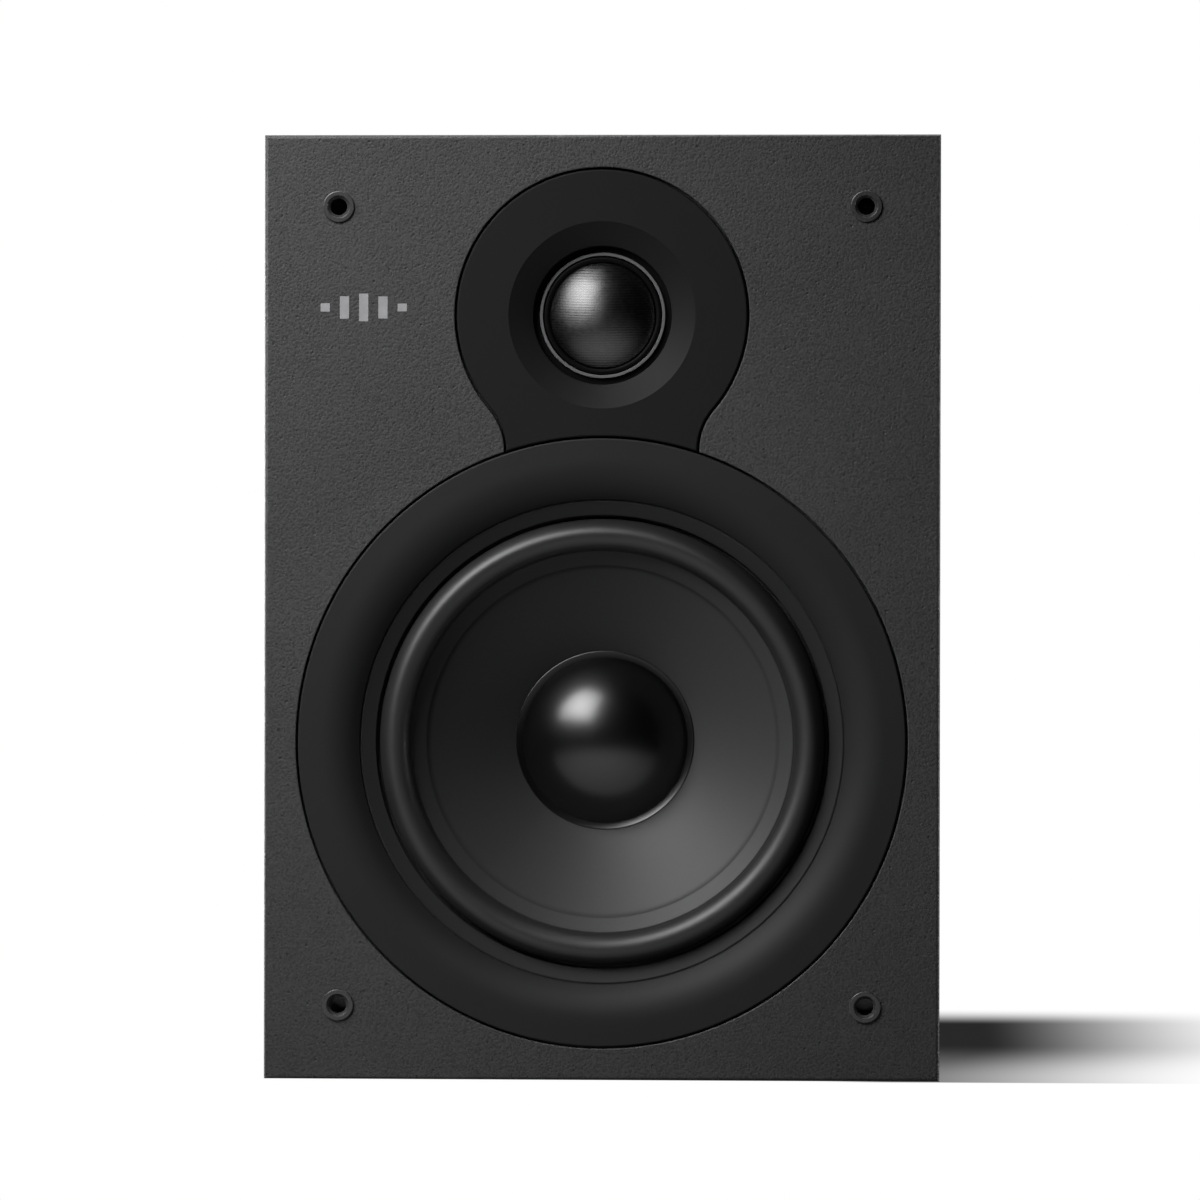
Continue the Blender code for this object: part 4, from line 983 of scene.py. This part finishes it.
def coneAndCap():
    edge, neck = 45.5, 13.1
    steps = 36
    radii = [neck + (edge - neck) * step / steps for step in range(steps + 1)]
    rim, lift = woofer["lipEnd"], woofer["lipRise"]
    front = [(radius, coneDepth(radius)) for radius in radii if radius < rim - 0.3]
    for place, raised in ((rim - 0.12, 0), (rim, lift * 0.8), (rim + 0.2, lift)):
        front.append((place, coneDepth(place) - raised))
    front += [(radius, coneDepth(radius) - lift) for radius in radii if radius > rim + 0.5]
    back = [(radius, coneDepth(radius) + 0.7) for radius in radii[::-1]]
    outline = [(radius * mm, depth * mm) for radius, depth in front + back]
    cone = meshPiece("coneBody", turned(outline, wooferCentre, 224), 50)
    fit(cone, conePulp(wooferCentre), "woofer_cone", ["woofer_cone"])

    # dust cap: a deep dome inside a glued flange that follows the cone
    base, side, rise = woofer["capEdge"], woofer["capSide"], woofer["capRise"]
    thick, lift = 0.5, 0.6
    sphere = (side**2 + rise**2) / (2 * rise)
    widest = math.asin(side / sphere)
    foot = coneDepth(side) - lift
    crown = foot - rise
    dome = []
    for step in range(29):
        turn = widest * step / 28
        dome.append((sphere * math.sin(turn), crown + sphere * (1 - math.cos(turn))))
    hollow = sphere - thick
    inner = []
    for step in range(21):
        turn = widest * step / 20 * 0.98
        inner.append((hollow * math.sin(turn), crown + thick + hollow * (1 - math.cos(turn))))
    slope = 0.49
    flange = [(radius, foot - (radius - side) * slope) for radius in (side + 0.1, side + 0.7, base - 0.12)]
    flange += [(base, foot - (base - side) * slope + 0.12), (base + 0.02, coneDepth(base) + 0.1)]
    flange += [(side - 0.3, coneDepth(side - 0.3) + 0.1)]
    outline = [(radius * mm, depth * mm) for radius, depth in dome + flange + inner[::-1]]
    cap = meshPiece("dustCap", turned(outline, wooferCentre, 192), 50)
    fit(cap, finishes["cap"], "woofer_cone", ["woofer_dust_cap"])


trimRing()
surround()
coneAndCap()
print("woofer front made")


tweeter = {
    "guide": 22.15,
    "throat": 16.6,
    "throatDepth": 2.35,
    "beadInner": 14.25,
    "beadOuter": 14.95,
    "beadRise": 0.75,
    "ringInner": 12.7,
    "ringRise": 0.35,
    "dome": 12.5,
    "foot": 5.2,
    "rise": 5.0,
}


def tweeterPlate():
    # flat plate with a crisp cone mouth; every ring has the outline's own bearings
    t = tweeter
    chamfer = 0.38 * mm
    low = trimRadius + groove

    def edgeRing(grow, depth):
        return [(x, depth, z) for x, z in keyhole(grow, low - grow)]

    outline = keyhole(0, low)
    bearings = [math.atan2(z, x) for x, z in outline]

    def roundRing(radius, depth):
        return [(radius * mm * math.cos(b), depth * mm, radius * mm * math.sin(b)) for b in bearings]

    layers = [edgeRing(0, 3 * mm), edgeRing(0, chamfer * 1.6), edgeRing(0, chamfer)]
    for turn in (30, 60):
        angle = math.radians(turn)
        layers.append(edgeRing(-chamfer * (1 - math.cos(angle)), chamfer * (1 - math.sin(angle))))
    layers += [edgeRing(-chamfer, 0), edgeRing(-chamfer * 1.5, 0)]
    slope = (t["guide"] - t["throat"]) / t["throatDepth"]
    layers += [roundRing(t["guide"] + 0.45, 0), roundRing(t["guide"] + 0.12, 0)]
    layers += [roundRing(t["guide"], 0.06)]
    layers += [roundRing(t["guide"] - d * slope, d + 0.06) for d in (0.25, 0.8, 1.6, 2.1)]
    layers += [roundRing(t["throat"], t["throatDepth"] + 0.1)]
    layers += [roundRing(t["throat"] - 0.1, 3.3), roundRing(t["throat"] - 0.1, 4.6)]
    layers += [roundRing(20.3, 4.6), roundRing(20.3, 5.3), roundRing(25, 5.3), roundRing(25, 3)]
    bm = bmesh.new()
    rings = [[bm.verts.new(Vector(spot) + tweeterCentre) for spot in layer] for layer in layers]
    skin(bm, rings, closed=True)
    piece = meshPiece("tweeterPlate", bm, 30)
    for face in piece.data.polygons:
        if abs(face.normal.y) > 0.99999:
            face.use_smooth = False
    return fit(piece, finishes["plate"], "cabinet", ["tweeter_faceplate"])


def tweeterDiaphragm():
    t = tweeter
    sphere = (t["dome"] ** 2 + t["rise"] ** 2) / (2 * t["rise"])
    widest = math.asin(t["dome"] / sphere)
    crown = t["foot"] - 0.4 - t["rise"]
    outer = []
    for step in range(33):
        turn = widest * step / 32
        outer.append((sphere * math.sin(turn), crown + sphere * (1 - math.cos(turn))))
    hollow = sphere - 0.35
    inner = []
    for step in range(21):
        turn = widest * step / 20 * 0.99
        inner.append((hollow * math.sin(turn), crown + 0.35 + hollow * (1 - math.cos(turn))))
    hem = [(t["dome"] + 0.08, t["foot"] - 0.25), (t["dome"] + 0.08, t["foot"])]
    outline = [(radius * mm, depth * mm) for radius, depth in outer + hem + inner[::-1]]
    dome = meshPiece("tweeterDome", turned(outline, tweeterCentre, 128), 50)
    fit(dome, finishes["silk"], "tweeter_dome", ["tweeter_dome"])

    # low soft roll, and the slim bead that holds its outer edge; the bead's ridge shape is modelled, its
    # pale grey is a painted highlight along the roll's crest
    level, thick = t["foot"] - 0.25, 0.3
    middle, half = (t["beadInner"] - 0.1 + t["ringInner"]) / 2, (t["beadInner"] - 0.1 - t["ringInner"]) / 2
    turns = [math.pi * step / 16 for step in range(17)]
    front = [(17.6, level + 0.2), (t["beadInner"], level + 0.2)]
    front += [(middle + half * math.cos(a), level - t["ringRise"] * math.sin(a)) for a in turns]
    back = [(radius, depth + thick) for radius, depth in front[::-1]]
    outline = [(radius * mm, depth * mm) for radius, depth in front + back]
    ring = meshPiece("tweeterSurround", turned(outline, tweeterCentre, 128), 50)
    ring.data.materials.append(finishes["ring"].material)
    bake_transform(ring)
    radialBlend(ring, tweeterCentre, t["beadInner"] * mm, t["ringInner"] * mm)
    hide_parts("tweeter_surround")
    inner, outer, top = t["beadInner"], t["beadOuter"], level - t["beadRise"]
    corners = [(inner, level + 0.1, 0), (inner, top, 0.12)]
    corners += [(outer, top, 0.12), (outer + 0.1, level + 0.1, 0)]
    outline = rounded([(r * mm, d * mm, f * mm) for r, d, f in corners], 4, 0.03 * mm)
    bead = meshPiece("tweeterBead", turned(outline, tweeterCentre, 144), 34)
    fit(bead, finishes["bead"], "cabinet", ())


tweeterPlate()
tweeterDiaphragm()
print("tweeter front made")


port = {"bore": 17.0, "flare": 8.0, "flange": 30.0, "thick": 1.5}


def portTube():
    p = port
    low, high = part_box("port_tube")
    centre = Vector(((low.x + high.x) / 2, high.y, (low.z + high.z) / 2))
    mouth = []
    for step in range(19):
        angle = math.pi / 2 * step / 18
        mouth.append((p["bore"] + p["flare"] * (1 - math.sin(angle)), -p["flare"] * (1 - math.cos(angle))))
    end = (low.y - high.y) / mm
    inner = []
    for step in range(9):
        angle = math.pi / 2 * step / 8
        inner.append((p["bore"] + 4 * (1 - math.cos(angle)), end + 4 * (1 - math.sin(angle))))
    rim = p["flange"]
    corners = [(rim, -p["thick"], 0.1), (rim, 0, 0.6), (rim - 1.6, 0, 0)]
    corners += [(rim - 2.0, -0.18, 0), (rim - 2.4, -0.18, 0), (rim - 2.8, 0, 0)]
    corners += [(radius, depth, 0) for radius, depth in mouth + inner]
    corners += [(21.8, end + 0.6, 0.3), (19, end + 5, 0), (19, -15.5, 0)]
    corners += [(23.5, -11.5, 0), (23.5, -p["thick"], 0)]
    outline = rounded([(r * mm, d * mm, f * mm) for r, d, f in corners], 5)
    piece = meshPiece("portTube", turned(outline, centre, 160), 34)
    return fit(piece, finishes["spark"], "cabinet", ["port_tube"])


cup = {
    "corner": 6.0,
    "pocketWide": 66.0,
    "pocketTall": 38.0,
    "pocketCorner": 7.0,
    "pocketDeep": 19.0,
    "wall": 2.5,
    "lip": 0.9,
    "signSize": 5.0,
}


def terminalCup():
    low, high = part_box("terminal_cup")
    centre = Vector(((low.x + high.x) / 2, high.y, (low.z + high.z) / 2))
    wide, tall = (high.x - low.x) / mm, (high.z - low.z) / mm
    thick = 1.4
    c = cup

    def ring(shrink, depth, outer=True):
        if outer:
            points = roundedBox(wide - 2 * shrink, tall - 2 * shrink, c["corner"] - min(shrink, 4))
        else:
            corner = max(c["pocketCorner"] - shrink, 2.0)
            points = roundedBox(c["pocketWide"] - 2 * shrink, c["pocketTall"] - 2 * shrink, corner)
        return [(x * mm, depth * mm, z * mm) for x, z in points]

    wall, deep = c["wall"], c["pocketDeep"]
    layers = [ring(0.7 - wall, -deep - 2.5, False), ring(-wall, -deep - 1.8, False)]
    layers += [ring(-wall, -thick, False)]
    layers += [ring(0, -thick), ring(0, -0.5), ring(0.15, -0.15), ring(0.5, 0), ring(0.8, 0)]
    layers += [ring(2.2, 0), ring(2.35, -0.25), ring(2.65, -0.25), ring(2.8, 0)]
    lip = c["lip"]
    layers += [ring(-lip - 0.4, 0, False), ring(-lip, 0, False)]
    for angle in (30, 60, 90):
        turn = math.radians(angle)
        layers.append(ring(-lip * (1 - math.sin(turn)), -lip * (1 - math.cos(turn)), False))
    layers += [ring(0.05, -lip - 0.3, False), ring(0.5, -deep + 1.6, False)]
    for angle in (30, 60, 90):
        turn = math.radians(angle)
        layers.append(ring(0.5 + 1.3 * (1 - math.cos(turn)), -deep + 1.3 * (1 - math.sin(turn)), False))
    layers.append(ring(2.2, -deep, False))
    piece = meshPiece("terminalCup", lofted(layers, centre), 32)
    fit(piece, finishes["spark"], "cabinet", ["terminal_cup"])
    return centre


def polaritySigns(centre):
    # raised plus and minus beside the posts
    deep = -cup["pocketDeep"] * mm
    arm, half = cup["signSize"] / 2 * mm, 0.45 * mm
    bm = bmesh.new()
    redX = (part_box("red_post")[0].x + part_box("red_post")[1].x) / 2
    blackX = (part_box("black_post")[0].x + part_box("black_post")[1].x) / 2
    up = 13.2 * mm
    bars = [((redX, up), (arm, half)), ((redX, up), (half, arm)), ((blackX, up), (arm, half))]
    for (x, z), (reachX, reachZ) in bars:
        made = bmesh.ops.create_cube(bm, size=1)["verts"]
        bmesh.ops.scale(bm, verts=made, vec=(2 * reachX, 0.5 * mm, 2 * reachZ))
        spot = centre + Vector((x - centre.x, deep + 0.15 * mm, z))
        bmesh.ops.translate(bm, verts=made, vec=spot)
    bmesh.ops.bevel(bm, geom=bm.edges[:], offset=0.1 * mm, segments=2, profile=0.5, affect="EDGES")
    piece = meshPiece("polaritySigns", bm, 40, merge=False)
    fit(piece, finishes["mark"], "cabinet", ())


def crossScrew(head, height, shank, length, recess):
    corners = [
        (0, -height, 0),
        (head * 0.62, -height, head * 0.25),
        (head, -height * 0.42, head * 0.12),
        (head, 0, 0.06 * mm),
        (shank, 0, 0),
        (shank, length - shank * 1.6, 0),
        (0, length, 0),
    ]
    outline = rounded(corners, 4, 0.05 * mm)
    body = meshPiece("screwBlank", turned(outline, (0, 0, 0), 32))
    bm = bmesh.new()
    arm, half = head * 0.56, head * 0.13
    for reachX, reachZ in ((arm, half), (half, arm)):
        made = bmesh.ops.create_cube(bm, size=2)["verts"]
        for vertex in made:
            slim = 0.55 if vertex.co.y > 0 else 1.0
            vertex.co = (vertex.co.x * reachX * slim, vertex.co.y, vertex.co.z * reachZ * slim)
        bmesh.ops.scale(bm, verts=made, vec=(1, recess, 1))
        bmesh.ops.translate(bm, verts=made, vec=(0, -height, 0))
    tool = meshPiece("screwCross", bm, 30, merge=False)
    cut = body.modifiers.new("cross", "BOOLEAN")
    cut.object = tool
    cut.operation = "DIFFERENCE"
    cut.solver = "EXACT"
    cut.use_self = True
    plain(body)
    bpy.data.objects.remove(tool)
    body.data.shade_smooth()
    body.data.set_sharp_from_angle(angle=math.radians(32))
    return body


def screwSet(name, screw, seats, turn, finish, nodes):
    # seats are the points that the heads sit on
    spots = bpy.data.objects.new(name + "Seats", bpy.data.meshes.new(name + "Seats"))
    spots.data.from_pydata([tuple(seat) for seat in seats], [], [])
    bpy.context.scene.collection.objects.link(spots)
    recipe = Recipe(name, Turn=turn, Seed=7, Finish=finish.material)
    where = recipe.add("GeometryNodeObjectInfo", None, {"Object": spots}, "Geometry")
    shape = recipe.add("GeometryNodeObjectInfo", None, {"Object": screw}, "Geometry")
    values = {0: (0.0, 0.0, 0.0), 1: (0.0, 6.283, 0.0), "Seed": recipe.get("Seed")}
    spin = recipe.add("FunctionNodeRandomValue", {"data_type": "FLOAT_VECTOR"}, values, 0)
    both = recipe.add("ShaderNodeVectorMath", {"operation": "ADD"}, {0: spin, 1: recipe.get("Turn")})
    parts = {"Points": where, "Instance": shape, "Rotation": both}
    recipe.finish(recipe.add("GeometryNodeInstanceOnPoints", None, parts))
    made = recipe.make(name)
    bpy.data.objects.remove(spots)
    bpy.data.objects.remove(screw)
    return fit(made, finish, "cabinet", nodes)


def allScrews():
    names = [f"terminal_cup_screw_{index}" for index in range(1, 5)]
    boxes = [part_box(name) for name in names]
    head = (boxes[0][1].x - boxes[0][0].x) / 2
    seats = [((low.x + high.x) / 2, high.y - 1.7 * mm, (low.z + high.z) / 2) for low, high in boxes]
    rear = crossScrew(head, 1.7 * mm, 1.4 * mm, 12 * mm, 0.9 * mm)
    screwSet("cupScrews", rear, seats, (0.0, 0.0, math.pi), finishes["screw"], names)
    names = [f"woofer_screw_{index}" for index in range(1, 5)]
    boxes = [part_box(name) for name in names]
    head = (boxes[0][1].x - boxes[0][0].x) / 2
    seats = [((low.x + high.x) / 2, low.y + 1.5 * mm, (low.z + high.z) / 2) for low, high in boxes]
    front = crossScrew(head, 1.5 * mm, 1.3 * mm, 12 * mm, 0.8 * mm)
    screwSet("frameScrews", front, seats, (0.0, 0.0, 0.0), finishes["screw"], names)


post = {
    "pitch": 0.8,
    "thread": 3.4,
    "core": 2.95,
    "bore": 2.05,
    "collar": 6.2,
    "collarThick": 3.0,
    "reach": 17.5,
}
capShell = {"radius": 7.2, "ribs": 24, "ribDeep": 0.32, "insert": 5.0, "edge": 0.7}


def threadedPost(hand):
    # collar, threaded barrel with a plug socket in its end
    low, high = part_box(f"{hand}_post")
    centre = Vector(((low.x + high.x) / 2, low.y, (low.z + high.z) / 2))
    tip = (high.y - low.y) / mm
    collarStart = tip - post["reach"]
    collarEnd = collarStart + post["collarThick"]
    around, perPitch = 40, 7
    rows = []

    def round_(radius, height):
        rows.append([(radius, height)] * around)

    round_(0, 0)
    round_(post["thread"], 0)
    round_(post["thread"], collarStart)
    round_(post["collar"] - 0.3, collarStart)
    round_(post["collar"], collarStart + 0.3)
    round_(post["collar"], collarEnd - 0.3)
    round_(post["collar"] - 0.3, collarEnd)
    round_(post["core"] + 0.2, collarEnd)
    count = int((tip - 0.6 - collarEnd - 0.4) / post["pitch"] * perPitch)
    start = collarEnd + 0.4
    for step in range(count + 1):
        height = start + step * post["pitch"] / perPitch
        fade = min(1.0, step / 8, (count - step) / 8)
        row = []
        for spot in range(around):
            phase = (height / post["pitch"] - spot / around) % 1.0
            ridge = 1 - abs(2 * phase - 1)
            row.append((post["core"] + (post["thread"] - post["core"]) * ridge * fade, height))
        rows.append(row)
    round_(post["core"], tip - 0.4)
    round_(post["core"] - 0.4, tip)
    round_(post["bore"] + 0.35, tip)
    round_(post["bore"], tip - 0.4)
    round_(post["bore"], tip - 13)
    round_(0, tip - 13.6)
    bm = bmesh.new()
    rings = []
    for row in rows:
        if row[0][0] == 0:
            rings.append([bm.verts.new(centre + Vector((0, row[0][1] * mm, 0)))] * around)
            continue
        ring = []
        for spot, (radius, height) in enumerate(row):
            turn = 2 * math.pi * spot / around
            place = (radius * mm * math.cos(turn), height * mm, radius * mm * math.sin(turn))
            ring.append(bm.verts.new(centre + Vector(place)))
        rings.append(ring)
    skin(bm, rings, closed=False)
    piece = meshPiece(hand + "Post", bm, 38)
    return fit(piece, finishes["gold"], "cabinet", [f"{hand}_post"])


def postCap(hand, finish):
    # ribbed finger nut: one rib shape set round a turned body, and a plated insert in its face
    low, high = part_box(f"{hand}_post_cap")
    centre = Vector(((low.x + high.x) / 2, low.y, (low.z + high.z) / 2))
    long = (high.y - low.y) / mm
    c = capShell
    outer = c["radius"] - c["ribDeep"]
    corners = [
        (3.7, 0.0, 0.2),
        (3.7, long - 0.2, 0),
        (c["insert"] + 0.05, long - 0.2, 0),
        (c["insert"] + 0.05, long, 0.2),
        (outer - 0.1, long, 0.9),
        (outer, long * 0.5, 0),
        (outer, 0.9, 0),
        (outer - 0.5, 0.0, 0.3),
    ]
    outline = rounded([(r * mm, d * mm, f * mm) for r, d, f in corners], 5)
    body = meshPiece(hand + "CapBody", turned(outline, (0, 0, 0), 72))
    sizes = {"Radius": outer * mm, "Long": (long - 2.6) * mm, "Thick": c["ribDeep"] * 2 * mm}
    recipe = Recipe(hand + "CapRibs", Count=c["ribs"], **sizes, Finish=finish.material)
    loop = {"Vertices": recipe.get("Count"), "Radius": recipe.get("Radius")}
    circle = recipe.add("GeometryNodeMeshCircle", None, loop)
    facing = {"Vector": recipe.add("GeometryNodeInputPosition")}
    turn = recipe.add("FunctionNodeAlignRotationToVector", {"axis": "X"}, facing)
    rod = {"Vertices": 8, "Radius": recipe.get("Thick"), "Depth": recipe.get("Long")}
    rib = recipe.add("GeometryNodeMeshCylinder", None, rod, "Mesh")
    parts = {"Points": circle, "Instance": rib, "Rotation": turn}
    placed = recipe.add("GeometryNodeInstanceOnPoints", None, parts)
    upright = {"Geometry": placed, "Rotation": (math.pi / 2, 0.0, 0.0)}
    upright["Translation"] = (0.0, long / 2 * mm, 0.0)
    recipe.finish(recipe.add("GeometryNodeTransform", None, upright))
    ribs = recipe.make(hand + "CapRibSet")
    bm = bmesh.new()
    bm.from_mesh(body.data)
    bm.from_mesh(ribs.data)
    bmesh.ops.translate(bm, verts=bm.verts, vec=centre)
    bpy.data.objects.remove(body)
    bpy.data.objects.remove(ribs)
    piece = meshPiece(hand + "Cap", bm, 34, merge=False)
    fit(piece, finish, f"{hand}_cap", [f"{hand}_post_cap"])
    inner, outside, deep, face = 3.72, c["insert"], long - 2.4, long - 0.15
    insert = [(inner, deep, 0), (inner, face, 0.15), (outside, face, 0.15), (outside, deep, 0)]
    outline = rounded([(r * mm, d * mm, f * mm) for r, d, f in insert], 3, 0.03 * mm)
    ring = meshPiece(hand + "CapInsert", turned(outline, centre, 64))
    fit(ring, finishes["gold"], f"{hand}_cap", ())


def postWasher(hand):
    low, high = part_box(f"{hand}_post_washer")
    centre = Vector(((low.x + high.x) / 2, low.y, (low.z + high.z) / 2))
    thick, outer = high.y - low.y, (high.x - low.x) / 2
    bore, blunt, soft = 3.7 * mm, 0.1 * mm, 0.25 * mm
    corners = [(bore, 0, blunt), (outer, 0, soft), (outer, thick, soft), (bore, thick, blunt)]
    piece = meshPiece(hand + "Washer", turned(rounded(corners, 3, 0.03 * mm), centre, 72))
    return fit(piece, finishes["gold"], f"{hand}_washer", [f"{hand}_post_washer"])


portTube()
polaritySigns(terminalCup())
allScrews()
for hand in ("red", "black"):
    threadedPost(hand)
    postCap(hand, finishes[hand])
    postWasher(hand)
print("back of the cabinet made")


inside = {
    "board": ["rear_panel"],
    "frame": ["woofer_basket"],
    "ferrite": ["woofer_magnet", "tweeter_magnet"],
    "zinc": ["woofer_top_plate", "woofer_pole_yoke", "tweeter_top_plate", "tweeter_pole_yoke"],
    "foil": ["voice_coil_former"],
    "foam": ["woofer_gasket", "terminal_cup_gasket"],
    "laminate": ["crossover_board", "woofer_tag_strip"],
    "tin": ["red_post_nut", "black_post_nut"],
    "screw": ["woofer_inductor_core"],
    "film": ["tweeter_capacitor"],
    "sleeve": ["woofer_capacitor"],
    "cement": ["tweeter_resistor"],
    "lead": ["woofer_lead", "tweeter_lead"],
}


def dressNodes():
    # parts whose own shape is right get their finish here
    for finishName, names in inside.items():
        for name in names:
            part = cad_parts[name]
            part.data.materials.clear()
            part.data.materials.append(finishes[finishName].material)


def spiderSheet():
    # corrugated disc of treated cloth between the frame and the coil former
    low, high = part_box("woofer_spider")
    outer = (high.x - low.x) / 2
    inner = (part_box("voice_coil_former")[1].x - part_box("voice_coil_former")[0].x) / 2 + 0.3 * mm
    thick = 0.35 * mm
    middle = (low.y + high.y) / 2
    swing = (high.y - low.y) / 2 - thick
    waves = 6
    front = []
    for step in range(97):
        share = step / 96
        ease = min(1.0, share * 9, (1 - share) * 9)
        wave = math.sin(share * waves * 2 * math.pi)
        front.append((outer + (inner - outer) * share, middle - swing * ease * wave))
    back = [(radius, depth + thick) for radius, depth in front[::-1]]
    outline = [(radius, depth - frontY) for radius, depth in front + back]
    piece = meshPiece("spiderSheet", turned(outline, wooferCentre, 144), 50)
    piece.data.materials.append(finishes["spider"].material)
    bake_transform(piece)
    radialBlend(piece, wooferCentre, outer - 2 * mm, inner + 1.5 * mm)
    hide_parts("woofer_spider")


def winding(name, node, wire, body, layers=1):
    # enamelled wire wound turn beside turn in the ring that the part fills
    low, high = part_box(node)
    size = high - low
    along = min(range(3), key=lambda axis: abs(size[axis] - max(size)) < 0.2 * mm)
    outer = max(size) / 2
    length = size[along] - wire
    turns = max(2, int(length / wire))
    centre = (low + high) / 2
    sizes = {"Long": length, "Wire": wire / 2 * 0.98, "Outer": outer - wire / 2}
    recipe = Recipe(name, Turns=turns, **sizes, Finish=finishes["copper"].material)
    shapes = []
    for layer in range(layers):
        radius = recipe.maths("SUBTRACT", recipe.get("Outer"), layer * wire * 0.88)
        path = {
            "Resolution": 48,
            "Rotations": recipe.get("Turns"),
            "Start Radius": radius,
            "End Radius": radius,
            "Height": recipe.get("Long"),
        }
        spiral = recipe.add("GeometryNodeCurveSpiral", None, path)
        section = {"Resolution": 6, "Radius": recipe.get("Wire")}
        profile = recipe.add("GeometryNodeCurvePrimitiveCircle", None, section)
        tube = {"Curve": spiral, "Profile Curve": profile, "Fill Caps": True}
        shapes.append(recipe.add("GeometryNodeCurveToMesh", None, tube))
    back = recipe.maths("MULTIPLY", recipe.get("Long"), -0.5)
    middle = recipe.add("ShaderNodeCombineXYZ", None, {"Z": back})
    coils = {"Geometry": recipe.join(*shapes), "Translation": middle}
    moved = recipe.add("GeometryNodeTransform", None, coils)
    turn = {0: (0.0, math.pi / 2, 0.0), 1: (math.pi / 2, 0.0, 0.0), 2: (0.0, 0.0, 0.0)}[along]
    shift = {"Geometry": moved, "Rotation": turn, "Translation": tuple(centre)}
    recipe.finish(recipe.add("GeometryNodeTransform", None, shift))
    return fit(recipe.make(name, 60), finishes["copper"], body, [node])


# lumpScale, tuftScale and strandScale are how fine each noise is, per metre
wadding = {
    "inset": 3.0 * mm,
    "crown": 0.45,
    "lumpScale": 42,
    "tuftScale": 95.0,
    "strandScale": 420,
    "swell": 2.2 * mm,
    "tuft": 0.6 * mm,
    "fill": 0.55,
}


def waddingPad(hand):
    # loose fibre pad: a crowned soft form with lumps, tufts and sides that pull in
    low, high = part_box(f"wadding_{hand}")
    w = wadding
    middle = (low + high) / 2
    half = (high - low) / 2 - Vector((w["inset"],) * 3)
    bm = bmesh.new()
    bmesh.ops.create_cube(bm, size=2)
    bmesh.ops.subdivide_edges(bm, edges=bm.edges[:], cuts=22, use_grid_fill=True)
    thin = min(range(3), key=lambda axis: half[axis])
    for vertex in bm.verts:
        spot = vertex.co.copy()
        crown = 1.0
        for axis in range(3):
            if axis != thin:
                crown *= 1 - abs(spot[axis]) ** 6 * w["crown"]
        soft = Vector((1, 1, 1))
        for axis in range(3):
            one, two = [spot[other] ** 2 for other in range(3) if other != axis]
            soft[axis] = math.sqrt(max(0.0, 1 - (one + two) * 0.16 + one * two / 15))
        place = Vector(spot[axis] * soft[axis] * half[axis] for axis in range(3))
        place[thin] *= crown
        where = middle + place
        lumps = noise.noise(where * w["lumpScale"]) * 0.6 + noise.noise(where * w["tuftScale"]) * 0.4
        strands = noise.noise(where * w["strandScale"])
        vertex.co = where + place.normalized() * (lumps * w["swell"] + strands * w["tuft"])
    piece = meshPiece(f"waddingPad{hand.capitalize()}", bm, 180, merge=False)
    smoother = piece.modifiers.new("round", "SUBSURF")
    smoother.levels = smoother.render_levels = 1
    plain(piece)
    fit(piece, finishes["fleece"], "cabinet", [f"wadding_{hand}"])


dressNodes()
spiderSheet()
winding("woofer_coil_turns", "voice_coil_winding", 0.32 * mm, "woofer_cone")
winding("tweeter_coil_turns", "tweeter_voice_coil", 0.2 * mm, "tweeter_dome")
winding("bass_inductor_turns", "woofer_inductor_coil", 0.9 * mm, "cabinet", 3)
winding("treble_inductor_turns", "tweeter_inductor_coil", 0.8 * mm, "cabinet", 3)
waddingPad("left")
waddingPad("right")
print("inside of the cabinet made")
